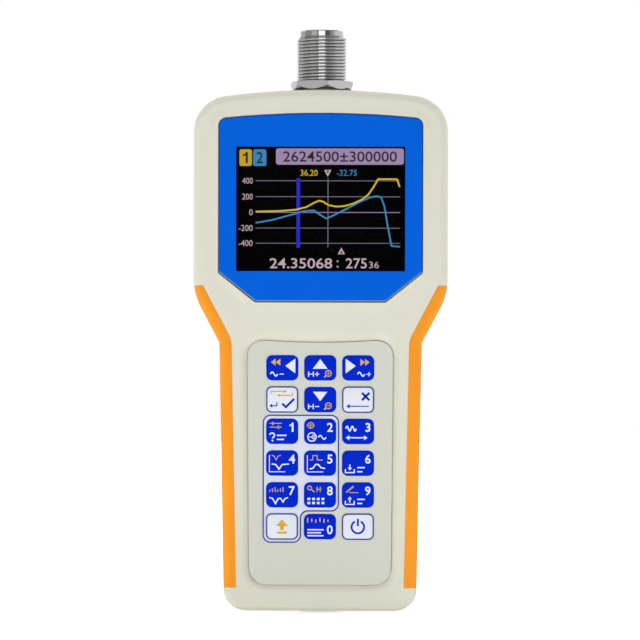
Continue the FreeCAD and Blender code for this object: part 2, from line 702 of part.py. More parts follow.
def rim_outline():
    """Foot of the raised rim round the lens."""
    right = [
        ("(lens_width / 2 - lens_cut_across)", "(lens_bottom - rim_bottom)", "lens_cut_corner", "0"),
        ("(lens_width / 2 + rim_side)", "(lens_bottom + lens_cut_up - rim_side / 2)",
         "lens_cut_corner", "0"),
        ("(lens_width / 2 + rim_side)", "(lens_top - lens_rise + rim_top)",
         "(lens_corner + rim_side)", "0"),
    ]
    return mirrored(right, top_rise="lens_rise", bottom_rise="rim_sag")


def recess_outline():
    """Mouth of the keypad's recess, in the flat face."""
    right = [
        ("(overlay_foot_width / 2 + recess_slope)", "(overlay_bottom - recess_slope / 2)",
         "(overlay_corner + recess_slope)", "0"),
        ("(overlay_top_width / 2 + recess_slope)", "(overlay_top + recess_slope)",
         "(overlay_corner + recess_slope)", "0"),
    ]
    return mirrored(right, top_rise="0", bottom_rise="recess_sag")


def window_outline(grow):
    return rectangle(f"(window_width / 2 + ({grow}))",
                     f"(window_middle - window_height / 2 - ({grow}))",
                     f"(window_middle + window_height / 2 + ({grow}))")


def seat_half(body, name, front):
    """Half of the flat pad under the arched top that the socket's flange bears on."""
    sketch = sketch_on(body, name + "Outline", "XY_Plane", "seat_under")
    half = "(seat_width / 2)"
    near, far = (f"-{half}", "0") if front else ("0", half)
    draw_outline(sketch, block(f"-{half}", half, near, far))
    return pad(body, name, sketch, "seat_wall - spot_depth")


def rear_moulding():
    """Rear shell before the grips and both sockets are let into it."""
    body = new_body("rear_moulding")
    outline = sketch_on(body, "RearOutline", "XZ_Plane")
    draw_outline(outline, housing_outline())
    block_pad = pad(body, "RearBlock", outline, "rear_depth", backward=True)
    bevel_face(body, "RearEdge", block_pad, "Y", "rear_depth", "rear_bevel")
    hollow = sketch_on(body, "RearHollow", "XZ_Plane")
    draw_outline(hollow, housing_outline("wall", "wall + grip_depth", "wall", "wall"))
    pocket(body, "RearCavity", hollow, "rear_depth - back_wall")
    seat_half(body, "RearSeat", front=False)

    posts = sketch_on(body, "RearPosts", "XZ_Plane")
    draw_octagons(posts, POSTS, "2 * (sink_radius + sink_wall)")
    pad(body, "Standoffs", posts, "rear_depth - back_wall / 2", backward=True)

    bay = sketch_on(body, "BayOutline", "XZ_Plane", "bay_wall - bay_floor")
    draw_outline(bay, rectangle("(bay_half + bay_wall)", "(bay_bottom - bay_wall)",
                                "(bay_top + bay_wall)"))
    pad(body, "Bay", bay, "rear_depth - back_wall / 2 - bay_floor + bay_wall", backward=True)
    rim = sketch_on(body, "CoverRimOutline", "XZ_Plane", "cover_rim_depth - rear_depth")
    draw_outline(rim, cover_outline("cover_gap + cover_rim"))
    pad(body, "CoverRim", rim, "cover_rim_depth - back_wall / 2", backward=True)

    opening = sketch_on(body, "CoverOpening", "XZ_Plane", "-rear_depth")
    draw_outline(opening, cover_outline("cover_gap"))
    pocket(body, "CoverSeat", opening, "cover_thick", forward=True)
    room = sketch_on(body, "BayRoom", "XZ_Plane", "-rear_depth")
    draw_outline(room, rectangle("bay_half", "bay_bottom", "bay_top"))
    pocket(body, "BayHollow", room, "rear_depth - bay_floor", forward=True)
    for side, name in (("-hook_side", "LeftHookSlot"), ("hook_side", "RightHookSlot")):
        slot = sketch_on(body, name + "Outline", "XZ_Plane", "hook_skin - hook_gap - rear_depth")
        draw_outline(slot, block(f"({side} - hook_width / 2 - hook_gap)",
                                 f"({side} + hook_width / 2 + hook_gap)",
                                 "(cover_bottom - hook_reach - hook_gap)",
                                 "(bay_bottom + cover_gap)"))
        pocket(body, name, slot, "hook_gap + hook_thick + hook_sweep", forward=True)
    scoop = sketch_on(body, "ScoopOutline", "XZ_Plane", "-rear_depth")
    draw_outline(scoop, [("scoop_width / 2", "(cover_top)", "0", "scoop_length"),
                         ("-scoop_width / 2", "(cover_top)", "0", "0")])
    pocket(body, "FingerScoop", scoop, "scoop_depth", forward=True)

    sinks = sketch_on(body, "SinkOutlines", "XZ_Plane", "-rear_depth")
    draw_circles(sinks, [place + ("sink_radius",) for place in POSTS])
    pocket(body, "Sinks", sinks, "rear_depth - sink_floor", forward=True)
    bores = sketch_on(body, "RearBoreOutlines", "XZ_Plane", "-sink_floor")
    draw_octagons(bores, POSTS, "screw_width + 2 * screw_gap")
    body.Tip = pocket(body, "RearBores", bores, "sink_floor", forward=True)
    return body


def cover_outline(grow):
    return rectangle(f"(cover_half + ({grow}))", f"(cover_bottom - ({grow}))",
                     f"(cover_top + ({grow}))", f"(cover_corner + ({grow}))")


def grip_zone(name, side):
    """Everything at one side of the line where a grip ends, across front, side and back."""
    body = new_body(name)
    sketch = sketch_on(body, name + "Outline", "XZ_Plane", f"front_depth + {OVERRUN}")
    inner_top = ("(waist_width / 2 - grip_reach + flare * (grip_top - waist_height"
                 " - grip_reach * flare_shift))")
    outside = f"(head_width / 2 + {OVERRUN})"
    corners = [
        ("(foot_width / 2 - grip_reach)", "grip_bottom", "0", "0"),
        (outside, "grip_bottom", "0", "0"),
        (outside, "grip_top", "0", "0"),
        (inner_top, "grip_top", "0", "0"),
        ("(waist_width / 2 - grip_reach)", "(waist_height + grip_reach * flare_shift)",
         "(waist_radius + grip_reach)", "0"),
    ]
    if side == "left":
        corners = [(f"-{across}", up, radius, rise) for across, up, radius, rise in reversed(corners)]
    draw_outline(sketch, corners)
    pad(body, name + "Block", sketch, f"front_depth + rear_depth + 2 * {OVERRUN}", backward=True)
    return body


def grip_core():
    """What the grips are laid round: the housing less the grips' thickness."""
    body = new_body("grip_core")
    outline = sketch_on(body, "CoreOutline", "XZ_Plane", "face - grip_depth")
    draw_outline(outline, housing_outline(*["grip_depth"] * 4))
    core = pad(body, "CoreBlock", outline, "face + rear_depth - 2 * grip_depth", backward=True)
    front = bevel_face(body, "CoreFront", core, "Y", "grip_depth - face",
                       "(front_edge - grip_depth) * (2 - sqrt(2))")
    bevel_face(body, "CoreBack", front, "Y", "rear_depth - grip_depth",
               "rear_bevel - grip_depth * (2 - sqrt(2))")
    return body


def seam_groove():
    """Ring that is cut from both shells where they meet."""
    body = new_body("seam_groove")
    outside = sketch_on(body, "SeamOutside", "XZ_Plane", "-seam_width / 2")
    draw_outline(outside, housing_outline(*["-seam_depth"] * 4))
    pad(body, "SeamBlock", outside, "seam_width")
    inside = sketch_on(body, "SeamInside", "XZ_Plane", "seam_width / 2")
    draw_outline(inside, housing_outline(*["seam_depth"] * 4))
    pocket(body, "SeamRing", inside, f"seam_width + {OVERRUN}")
    return body


def housing():
    front, rear = front_moulding(), rear_moulding()
    core = grip_core()
    left, right = grip_zone("left_zone", "left"), grip_zone("right_zone", "right")
    skin = combine("MultiFuse", "housing_form", front, rear)
    left_recess = combine("Cut", "left_recess", left, core)
    right_recess = combine("Cut", "right_recess", right, core)
    left_grip = combine("Common", "left_grip", skin, left_recess)
    right_grip = combine("Common", "right_grip", skin, right_recess)
    bore = cylinder_solid("socket_hole", "thread_radius + panel_gap", "0", "0",
                          (f"seat_under - {OVERRUN}", f"body_height + {OVERRUN}"))
    spot = cylinder_solid("spot_face", "spot_radius", "0", "0", ("seat_top", f"body_height + {OVERRUN}"))
    usb = box_solid("usb_opening", ("-usb_width / 2 - usb_gap", "usb_width / 2 + usb_gap"),
                    ("-board_back - usb_gap", "usb_thick - board_back + usb_gap"),
                    (f"-{OVERRUN}", f"wall + {OVERRUN}"))
    cuts = combine("MultiFuse", "openings", left_recess, right_recess, bore, spot, usb, seam_groove())
    return [combine("Cut", "front_shell", front, cuts), combine("Cut", "rear_shell", rear, cuts),
            left_grip, right_grip]


# ---------------------------------------------------------------- display

def display():
    lens = new_body("display_lens")
    outline = sketch_on(lens, "LensOutline", "XZ_Plane", "front_depth - lens_thick")
    draw_outline(outline, lens_outline("0"))
    plate = pad(lens, "LensPlate", outline, "lens_thick")
    bevel_face(lens, "LensBevel", plate, "Y", "-front_depth", "lens_bevel")

    tape = new_body("lens_tape")
    outline = sketch_on(tape, "TapeOutline", "XZ_Plane", "front_depth - lens_thick - tape_thick")
    draw_outline(outline, lens_outline("0"))
    pad(tape, "TapeSheet", outline, "tape_thick")
    hole = sketch_on(tape, "TapeHole", "XZ_Plane", "front_depth")
    draw_outline(hole, lens_outline("-tape_width"))
    pocket(tape, "TapeOpening", hole, f"lens_thick + tape_thick + {OVERRUN}")

    glass = screen_sheet("lcd_glass", "board_front + light_thick", "glass_thick")
    light = screen_sheet("lcd_backlight", "board_front", "light_thick")
    frame = new_body("lcd_frame")
    outline = sketch_on(frame, "FrameOutline", "XZ_Plane", "board_front")
    draw_outline(outline, window_outline("glass_margin + frame_gap + frame_rim"))
    pad(frame, "FrameBlock", outline, "glass_thick + light_thick")
    hole = sketch_on(frame, "FrameHole", "XZ_Plane", "board_front + glass_thick + light_thick")
    draw_outline(hole, window_outline("glass_margin + frame_gap"))
    pocket(frame, "FrameOpening", hole, f"glass_thick + light_thick + {OVERRUN}")
    return [lens, tape, glass, light, frame]


def screen_sheet(name, back, thickness):
    sheet_body = new_body(name)
    outline = sketch_on(sheet_body, name + "Outline", "XZ_Plane", back)
    draw_outline(outline, window_outline("glass_margin"))
    pad(sheet_body, name + "Sheet", outline, thickness)
    return sheet_body


# ---------------------------------------------------------------- keypad

def keypad_overlay():
    body = new_body("keypad_overlay")
    outline = sketch_on(body, "OverlayOutline", "XZ_Plane", "recess_floor")
    draw_outline(outline, overlay_outline("0"))
    pad(body, "OverlaySheet", outline, "overlay_thick")
    window = sketch_on(body, "KeyWindow", "XZ_Plane", "overlay_front")
    across, up = key_place(0, 0)
    draw_outline(window, key_outline(across, up, "key_gap"))
    first = pocket(body, "FirstWindow", window, f"overlay_thick + {OVERRUN}")
    key_grid(body, "Windows", window, first)
    return body


def key_grid(body, name, sketch, first):
    """Repeats the feature of the bottom left key at every other key."""
    grid = body.newObject("PartDesign::MultiTransform", name)
    grid.Originals = [first]
    body.Tip = grid
    steps = []
    for side, axis, step, count in (("Across", "H_Axis", "key_across", len(KEYS[0])),
                                    ("Up", "V_Axis", "key_up", len(KEYS))):
        row = body.newObject("PartDesign::LinearPattern", name + side)
        row.Direction = (sketch, [axis])
        row.Occurrences = count
        bind(row, Length=f"{step} * {count - 1}")
        steps.append(row)
    grid.Transformations = steps


def key_outline(across, up, grow):
    return centred(across, up, f"(key_width / 2 + {grow})", f"(key_height / 2 + {grow})",
                   f"(key_cut + {grow} * (2 - sqrt(2)))")


def stem_outline(across, up, grow):
    return centred(across, up, f"(stem_width / 2 + {grow})", f"(stem_height / 2 + {grow})")


def key(name, row, column):
    """A key: a printed plate in the overlay's window and a stem that presses its dome."""
    across, up = key_place(row, column)
    back = "(recess_floor + key_travel + key_spare)"
    body = new_body(name)
    outline = sketch_on(body, name + "Outline", "XZ_Plane", back)
    draw_outline(outline, key_outline(across, up, "0"))
    pad(body, name + "Plate", outline, f"overlay_front + key_proud - {back}")
    stem = sketch_on(body, name + "StemOutline", "XZ_Plane", back)
    draw_outline(stem, stem_outline(across, up, "0"))
    pad(body, name + "Stem", stem, f"{back} - stem_end", backward=True)
    return body


def snap_domes():
    """Metal snap domes on the board, one under each key."""
    body = new_body("snap_domes")
    outline = sketch_on(body, "DomeOutline", "XZ_Plane", "board_front")
    draw_octagons(outline, [key_place(0, 0)], "dome_width")
    key_grid(body, "Domes", outline, pad(body, "FirstDome", outline, "dome_height"))
    return body


# ---------------------------------------------------------------- circuit board

def main_board():
    body = new_body("main_board")
    outline = sketch_on(body, "BoardOutline", "XZ_Plane", "board_back")
    side, handle = "(wall + board_gap)", "(wall + grip_depth + board_gap)"
    half_head = f"(head_width / 2 - {side})"
    right = [
        (f"(foot_width / 2 - {handle})", side, "board_corner", "0"),
        (f"(waist_width / 2 - {handle})", f"(waist_height + {handle} * flare_shift)",
         "board_corner", "0"),
        (half_head, f"(shoulder_height + {side} * flare_shift)", f"(shoulder_radius - {side})", "0"),
        (half_head, "board_top", f"(top_corner - {side})", "0"),
    ]
    draw_outline(outline, mirrored(right))
    pad(body, "BoardSheet", outline, "board_thick")
    holes = sketch_on(body, "ScrewHoleOutlines", "XZ_Plane", "board_front")
    draw_octagons(holes, STUDS, "board_screw_width")
    pocket(body, "ScrewHoles", holes, f"board_thick + {OVERRUN}")
    notches = sketch_on(body, "NotchOutlines", "XZ_Plane", "board_front")
    reach = "(post_width / 2 + post_gap)"
    for across, up in UPPER_POSTS:
        draw_outline(notches, block(f"({across} - {reach})", f"({across} + {reach})",
                                    f"({up} - {reach})", f"(board_top + {OVERRUN})"))
    for across, up in LOWER_POSTS:
        draw_outline(notches, block(f"({across} - {reach})", f"({across} + {reach})",
                                    "0", f"({up} + {reach})"))
    pocket(body, "Notches", notches, f"board_thick + {OVERRUN}")
    return body


def rf_shield():
    body = new_body("rf_shield")
    outline = sketch_on(body, "ShieldOutline", "XZ_Plane", "board_back - shield_thick")
    half_height = "shield_height / 2"
    draw_outline(outline, rectangle("shield_width / 2", f"(shield_middle - {half_height})",
                                    f"(shield_middle + {half_height})"))
    pad(body, "ShieldBlock", outline, "shield_thick")
    hollow = sketch_on(body, "ShieldHollow", "XZ_Plane", "board_back")
    draw_outline(hollow, rectangle("(shield_width / 2 - shield_wall)",
                                   f"(shield_middle - {half_height} + shield_wall)",
                                   f"(shield_middle + {half_height} - shield_wall)"))
    pocket(body, "ShieldRoom", hollow, "shield_thick - shield_wall")
    return body


def buzzer():
    body = new_body("buzzer")
    outline = sketch_on(body, "BuzzerOutline", "XZ_Plane", "board_back - buzzer_thick")
    draw_circles(outline, [("-buzzer_side", "buzzer_up", "buzzer_radius")])
    pad(body, "BuzzerCan", outline, "buzzer_thick")
    return body


# ---------------------------------------------------------------- screws

def screws(name, places, head_back, head_width, head_thick, shank_width, shank_length):
    """Screws driven from the back; head_back is how far behind the joint the heads end."""
    body = new_body(name)
    heads = sketch_on(body, name + "HeadOutlines", "XZ_Plane", f"-({head_back})")
    draw_octagons(heads, places, head_width)
    pad(body, name + "Heads", heads, head_thick)
    shanks = sketch_on(body, name + "ShankOutlines", "XZ_Plane", f"{head_thick} - ({head_back})")
    draw_octagons(shanks, places, shank_width)
    pad(body, name + "Shanks", shanks, shank_length)
    return body


# ---------------------------------------------------------------- N socket

def turned(name, profile):
    """A piece turned about the upright axis; profile is its half section, anticlockwise."""
    body = new_body(name)
    section = sketch_on(body, name + "Section", "XZ_Plane")
    draw_outline(section, [(across, up, "0", "0") for across, up in profile])
    turn = body.newObject("PartDesign::Revolution", name + "Turned")
    turn.Profile = section
    turn.ReferenceAxis = (section, ["V_Axis"])
    turn.Angle = 360
    return body


def socket():
    body = turned("socket_body", [
        ("socket_bore", "flange_under"), ("flange_radius", "flange_under"),
        ("flange_radius", "seat_under"), ("shank_radius", "seat_under"),
        ("shank_radius", "nut_top + thread_relief"), ("thread_radius", "nut_top + thread_relief"),
        ("thread_radius", "thread_top"), ("nose_radius", "thread_top"),
        ("nose_radius", "socket_top"), ("socket_bore", "socket_top")])
    insulator = turned("socket_insulator", [
        ("contact_radius", "flange_under"), ("socket_bore", "flange_under"),
        ("socket_bore", "bore_floor"), ("contact_radius", "bore_floor")])
    pin = cylinder_solid("contact_pin", "contact_radius", "0", "0", ("tail_height", "contact_tip"))
    hole = cylinder_solid("contact_hole_tool", "contact_hole", "0", "0",
                          ("contact_tip - contact_hole_depth", f"contact_tip + {OVERRUN}"))
    slot_height = ("contact_tip - contact_slot_depth", f"contact_tip + {OVERRUN}")
    long = (f"-contact_radius - {OVERRUN}", f"contact_radius + {OVERRUN}")
    short = ("-contact_slot / 2", "contact_slot / 2")
    cuts = combine("MultiFuse", "contact_cuts", hole, box_solid("slot_across", long, short, slot_height),
                   box_solid("slot_along", short, long, slot_height))
    contact = combine("Cut", "socket_contact", pin, cuts)

    washer = turned("lock_washer", [
        ("thread_radius + panel_gap", "seat_top"), ("washer_radius", "seat_top"),
        ("washer_radius", "nut_bottom"), ("thread_radius + panel_gap", "nut_bottom")])
    return [body, insulator, contact, washer, socket_nut(), contact_strip()]


def socket_nut():
    prism = doc.addObject("Part::Prism", "nut_prism")
    prism.Polygon = 6
    bind(prism, Circumradius="nut_flats / sqrt(3)", Height="nut_thick",
         Placement__Base__z="nut_bottom", Placement__Rotation__Angle="nut_turn - 90")
    hole = cylinder_solid("nut_hole", "shank_radius", "0", "0",
                          (f"nut_bottom - {OVERRUN}", f"nut_top + {OVERRUN}"))
    return combine("Cut", "socket_nut", prism, hole)


def contact_strip():
    """Bent copper strip from the tail of the socket's contact forward to the board."""
    body = new_body("contact_strip")
    section = sketch_on(body, "StripSection", "YZ_Plane", "-strip_width / 2")
    foot = "(tail_height - strip_drop)"
    draw_outline(section, [
        ("(strip_thick - board_back)", f"({foot} - strip_foot)", "0", "0"),
        ("(strip_thick - board_back)", foot, "strip_bend", "0"),
        ("contact_radius", "(tail_height - strip_thick)", "0", "0"),
        ("contact_radius", "tail_height", "0", "0"),
        ("(-contact_radius)", "tail_height", "0", "0"),
        ("(-board_back)", foot, "(strip_bend + strip_thick)", "0"),
        ("(-board_back)", f"({foot} - strip_foot)", "0", "0")])
    pad(body, "Strip", section, "strip_width")
    return body


# ---------------------------------------------------------------- batteries

def cell(name, side, nub_up):
    """An AA cell on end."""
    across = f"{side}(cell_side)"
    low = "(bay_bottom + plate_thick + spring_length)" if nub_up else "(bay_bottom + plate_thick)"
    high = f"({low} + cell_length)"
    if nub_up:
        can, nub = (low, f"{high} - nub_height"), (f"{high} - nub_height", high)
    else:
        can, nub = (f"{low} + nub_height", high), (low, f"{low} + nub_height")
    return combine("MultiFuse", name,
                   cylinder_solid(name + "_can", "cell_radius", across, "cell_depth", can),
                   cylinder_solid(name + "_nub", "nub_radius", across, "cell_depth", nub))


def battery_plates():
    """One plate joins the cells at the bottom, and two lead to the board at the top."""
    depth = ("cell_depth - plate_width / 2", "cell_depth + plate_width / 2")
    low = ("bay_bottom", "bay_bottom + plate_thick")
    high = ("bay_top - plate_thick", "bay_top")
    reach = "cell_side + plate_width / 2"
    near = "cell_side - plate_width / 2"
    return combine("MultiFuse", "battery_plates",
                   box_solid("plate_bridge", (f"-({reach})", reach), depth, low),
                   box_solid("plate_left", (f"-({reach})", f"-({near})"), depth, high),
                   box_solid("plate_right", (near, reach), depth, high))


def battery_springs():
    """Bent leaf springs at the flat ends of the cells."""
    body = new_body("battery_springs")
    section = sketch_on(body, "SpringSections", "XZ_Plane", "spring_width / 2 - cell_depth")
    for middle, bottom in (("(-cell_side)", "(bay_bottom + plate_thick)"),
                           ("cell_side", "(bay_top - plate_thick - spring_length)")):
        near, far = f"({middle} - spring_reach / 2)", f"({middle} + spring_reach / 2)"
        crest, elbow = f"({bottom} + spring_length)", f"({bottom} + spring_length / 2)"
        points = [
            (near, bottom), (f"({far} - spring_thick)", bottom),
            (far, f"({elbow} - spring_thick / 2)"), (far, f"({elbow} + spring_thick / 2)"),
            (f"({near} + 2 * spring_thick)", crest), (near, crest),
            (near, f"({crest} - spring_thick)"), (f"({far} - 3 * spring_thick)", elbow),
            (near, f"({bottom} + spring_thick)")]
        draw_outline(section, [point + ("0", "0") for point in points])
    pad(body, "Leaves", section, "spring_width", backward=True)
    return body


def battery_cover():
    body = new_body("battery_cover")
    outline = sketch_on(body, "CoverOutline", "XZ_Plane", "-rear_depth")
    draw_outline(outline, cover_outline("0"))
    pad(body, "CoverPlate", outline, "cover_thick")
    for side, name in (("-hook_side", "LeftHook"), ("hook_side", "RightHook")):
        hook = sketch_on(body, name + "Outline", "XZ_Plane", "hook_skin - rear_depth")
        draw_outline(hook, block(f"({side} - hook_width / 2)", f"({side} + hook_width / 2)",
                                 "(cover_bottom - hook_reach)", "(cover_bottom + hook_reach)"))
        pad(body, name, hook, "hook_thick")
    slots = sketch_on(body, "TongueSlots", "XZ_Plane", f"cover_thick - rear_depth + {OVERRUN}")
    for edge in ("-(tongue_width / 2 + tongue_slot)", "(tongue_width / 2)"):
        draw_outline(slots, block(edge, f"({edge} + tongue_slot)",
                                  "(cover_top - tongue_length)", f"(cover_top + {OVERRUN})"))
    pocket(body, "Slots", slots, f"cover_thick + 2 * {OVERRUN}")
    ribs = sketch_on(body, "FirstGroove", "XZ_Plane", "-rear_depth")
    start = "(cover_top - rib_step)"
    draw_outline(ribs, rectangle("(tongue_width / 2 - rib_width)", f"({start} - rib_width)", start))
    groove = pocket(body, "Groove", ribs, "rib_proud", forward=True)
    rows = body.newObject("PartDesign::LinearPattern", "Grooves")
    rows.Originals = [groove]
    rows.Direction = (ribs, ["V_Axis"])
    rows.Reversed = True
    bind(rows, Occurrences="rib_count", Length="rib_step * (rib_count - 1)")
    body.Tip = rows
    return body


# ---------------------------------------------------------------- USB socket

def usb_socket():
    back = "(-board_back)"
    middle = f"({back} + usb_thick / 2)"
    mouth = "usb_sink"
    end = "(usb_sink + usb_length)"
    case = box_solid("usb_case", ("-usb_width / 2", "usb_width / 2"), (back, f"{back} + usb_thick"),
                     (mouth, end))
    inner_x = ("-usb_width / 2 + usb_wall", "usb_width / 2 - usb_wall")
    inner_y = (f"{back} + usb_wall", f"{back} + usb_thick - usb_wall")
    room = box_solid("usb_room", inner_x, inner_y, (f"{mouth} - {OVERRUN}", f"{end} - usb_wall"))
    shell = combine("Cut", "usb_shell", case, room)

    body = new_body("usb_insert")
    outline = sketch_on(body, "InsertOutline", "XY_Plane", mouth)
    draw_outline(outline, block(inner_x[0], inner_x[1], inner_y[0], inner_y[1]))
    pad(body, "InsertBlock", outline, "usb_length - usb_wall")
    half_x, half_y = "usb_mouth_width / 2", "usb_mouth_thick / 2"
    opening = sketch_on(body, "MouthOutline", "XY_Plane", mouth)
    draw_outline(opening, [
        (f"(-{half_x})", f"({middle} - {half_y})", "0", "0"),
        (f"({half_x})", f"({middle} - {half_y})", "0", "0"),
        (f"({half_x})", f"({middle} + {half_y} - usb_mouth_cut)", "0", "0"),
        (f"({half_x} - usb_mouth_cut)", f"({middle} + {half_y})", "0", "0"),
        (f"(usb_mouth_cut - {half_x})", f"({middle} + {half_y})", "0", "0"),
        (f"(-{half_x})", f"({middle} + {half_y} - usb_mouth_cut)", "0", "0")])
    pocket(body, "Mouth", opening, "usb_mouth_depth", forward=True)
    tongue = sketch_on(body, "TongueOutline", "XY_Plane", f"{mouth} + usb_tongue_sink")
    draw_outline(tongue, block("(-usb_tongue_width / 2)", "(usb_tongue_width / 2)",
                               f"({middle} - usb_tongue_thick / 2)", f"({middle} + usb_tongue_thick / 2)"))
    pad(body, "Tongue", tongue, f"usb_mouth_depth - usb_tongue_sink + {OVERRUN}")
    return [shell, body]


# ---------------------------------------------------------------- the whole analyzer

pieces = housing() + display() + [keypad_overlay()]
for row, names in enumerate(KEYS):
    for column, name in enumerate(names):
        pieces.append(key(name, row, column))
pieces += [snap_domes(), main_board(), rf_shield(), buzzer()]
pieces.append(screws("housing_screws", POSTS, "sink_floor + screw_head_thick", "screw_head_width",
                     "screw_head_thick", "screw_width", "sink_floor + screw_grip"))
pieces.append(screws("board_screws", STUDS, "board_screw_thick - board_back", "board_screw_head",
                     "board_screw_thick", "board_screw_width", "board_thick + board_screw_bite"))
pieces += socket()
pieces += [cell("left_battery", "-", True), cell("right_battery", "", False),
           battery_plates(), battery_springs(), battery_cover()]
pieces += usb_socket()
doc.recompute()

for item in doc.Objects:
    if "Invalid" in item.State or "Error" in item.State:
        raise RuntimeError(f"{item.Label} failed: {item.State}")
os.makedirs("parts", exist_ok=True)
for piece in pieces:
    shape = piece.Shape
    if shape.isNull() or not shape.isValid() or not shape.Solids:
        raise RuntimeError(f"{piece.Label} has no valid solid")
    shape.exportStep(f"parts/{piece.Label}.step")
print(f"{len(pieces)} pieces written")
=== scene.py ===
import json
import math

import bmesh
import bpy
from bpy.props import FloatProperty, FloatVectorProperty, PointerProperty
from bpy.types import Operator, Panel, PropertyGroup
from mathutils import Matrix, Vector

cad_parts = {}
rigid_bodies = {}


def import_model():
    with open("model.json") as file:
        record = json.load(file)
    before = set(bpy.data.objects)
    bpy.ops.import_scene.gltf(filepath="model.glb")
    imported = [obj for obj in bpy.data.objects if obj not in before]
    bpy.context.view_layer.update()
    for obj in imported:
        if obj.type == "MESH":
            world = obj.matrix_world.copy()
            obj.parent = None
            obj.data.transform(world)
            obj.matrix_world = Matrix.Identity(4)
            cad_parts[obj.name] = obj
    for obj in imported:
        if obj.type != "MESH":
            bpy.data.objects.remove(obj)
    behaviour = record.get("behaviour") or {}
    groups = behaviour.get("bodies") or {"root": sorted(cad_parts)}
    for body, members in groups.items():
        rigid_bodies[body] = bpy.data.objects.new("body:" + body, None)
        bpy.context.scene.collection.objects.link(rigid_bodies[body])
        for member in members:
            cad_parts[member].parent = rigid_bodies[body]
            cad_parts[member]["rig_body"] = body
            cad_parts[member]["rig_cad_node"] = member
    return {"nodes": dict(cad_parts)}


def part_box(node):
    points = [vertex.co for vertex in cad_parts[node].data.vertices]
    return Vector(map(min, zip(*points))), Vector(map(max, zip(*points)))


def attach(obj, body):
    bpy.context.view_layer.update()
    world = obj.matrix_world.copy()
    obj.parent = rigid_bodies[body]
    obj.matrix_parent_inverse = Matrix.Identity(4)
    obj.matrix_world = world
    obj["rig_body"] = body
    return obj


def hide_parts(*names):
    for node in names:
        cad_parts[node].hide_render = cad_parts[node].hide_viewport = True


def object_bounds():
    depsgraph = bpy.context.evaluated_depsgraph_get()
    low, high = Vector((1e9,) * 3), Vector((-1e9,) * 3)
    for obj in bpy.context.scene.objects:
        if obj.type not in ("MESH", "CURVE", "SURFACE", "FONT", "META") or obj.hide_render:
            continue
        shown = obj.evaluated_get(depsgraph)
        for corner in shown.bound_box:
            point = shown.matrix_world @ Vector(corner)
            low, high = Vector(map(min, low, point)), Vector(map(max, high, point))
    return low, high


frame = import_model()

bl_info = {
    "name": "Antenna analyzer looks",
    "version": (1, 0, 0),
    "blender": (4, 5, 0),
    "location": "3D View > Sidebar > Analyzer",
    "description": "Builds the visible pieces and finishes of a handheld antenna analyzer",
    "category": "Object",
}

CAD_BOX = [list(corner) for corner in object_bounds()]
MM = 0.001
# Points closer than MERGE, in metres, are one point. Directions whose dot product is over ALONG
# are one direction.
MERGE, ALONG = 2e-6, 0.99
FRONT, UP = Vector((0, -1, 0)), Vector((0, 0, 1))
TURN_UPRIGHT = Matrix.Rotation(math.radians(90), 4, "X")
KEYS = ["function", "0", "power", "7", "8", "9", "4", "5", "6", "1", "2", "3",
        "ok", "down", "cancel", "left", "up", "right"]
WHITE_KEYS = ["function", "power", "ok", "cancel"]
# The keys that lie in the printed field.
FIELD_KEYS = ["1", "2", "4", "5", "7", "8", "function"]


# ---- colours and sizes to change

def linear(hex_colour):
    """An sRGB hex colour as linear red, green and blue."""
    parts = [int(hex_colour[i:i + 2], 16) / 255 for i in (1, 3, 5)]
    return tuple(p / 12.92 if p <= 0.04045 else ((p + 0.055) / 1.055) ** 2.4 for p in parts)


def colour(name, description, hex_colour):
    return FloatVectorProperty(name=name, description=description, subtype="COLOR", size=3,
                               min=0.0, max=1.0, default=linear(hex_colour))


def length(name, description, millimetres):
    return FloatProperty(name=name, description=description, subtype="DISTANCE", unit="LENGTH",
                         min=0.0, precision=5, default=millimetres * MM)


class AnalyzerColours(PropertyGroup):
    housing: colour("Housing", "Ivory of both shells and the battery cover", "#DEDCCB")
    grips: colour("Grips", "Orange of the soft side grips", "#F69A20")
    lens: colour("Lens", "Blue print of the display lens", "#0062DD")
    film: colour("Keypad film", "Pale grey of the keypad film", "#D2D4C9")
    field: colour("Key field", "Lavender white round the main keys", "#D8DEEE")
    white_keys: colour("White keys", "White of the tick, cross, function and power keys", "#E4E9F2")
    blue_ink: colour("Blue ink", "Blue of the keys and of the printed lines", "#0029CC")
    gold_ink: colour("Gold ink", "Gold of the keys' second marks", "#D9AE2C")
    white_ink: colour("White ink", "White of the keys' first marks", "#E4E8F6")


class AnalyzerSizes(PropertyGroup):
    key_corner: length("Key corner", "Radius of the keys' corners", 1.9)
    key_gap: length("Key gap", "Gap between a key and the film", 0.05)
    white_wider: length("White keys wider", "How much wider the white keys are, on each side", 0.12)
    white_taller: length(
        "White keys taller", "How much taller the white keys are, above and below", 0.29)
    line: length("Blue line", "Width of the blue lines round the field and the white keys", 0.44)
    ink: length("Ink", "Thickness of printed marks", 0.02)
    thread_pitch: length(
        "Thread pitch", "Pitch of the socket's thread, 24 turns to the inch", 25.4 / 24)
    thread_depth: length("Thread depth", "Depth of the socket's thread", 0.6)
    edge: length("Edge", "Rounding of the housing's moulded edges", 0.12)


# Every finish by its short name, filled by the operators.
FINISHES = {}


# ---- modelling

def start_clean():
    """Object mode with nothing selected."""
    if bpy.context.mode != "OBJECT":
        bpy.ops.object.mode_set(mode="OBJECT")
    bpy.ops.object.select_all(action="DESELECT")


def select_only(piece):
    """Object mode with one piece selected and active."""
    start_clean()
    piece.select_set(True)
    bpy.context.view_layer.objects.active = piece


def settle(piece, place=None):
    """Moves the piece by a matrix and puts its place into its mesh."""
    select_only(piece)
    if place is not None:
        piece.matrix_world = place
    bpy.ops.object.transform_apply(location=True, rotation=True, scale=True)
    return piece


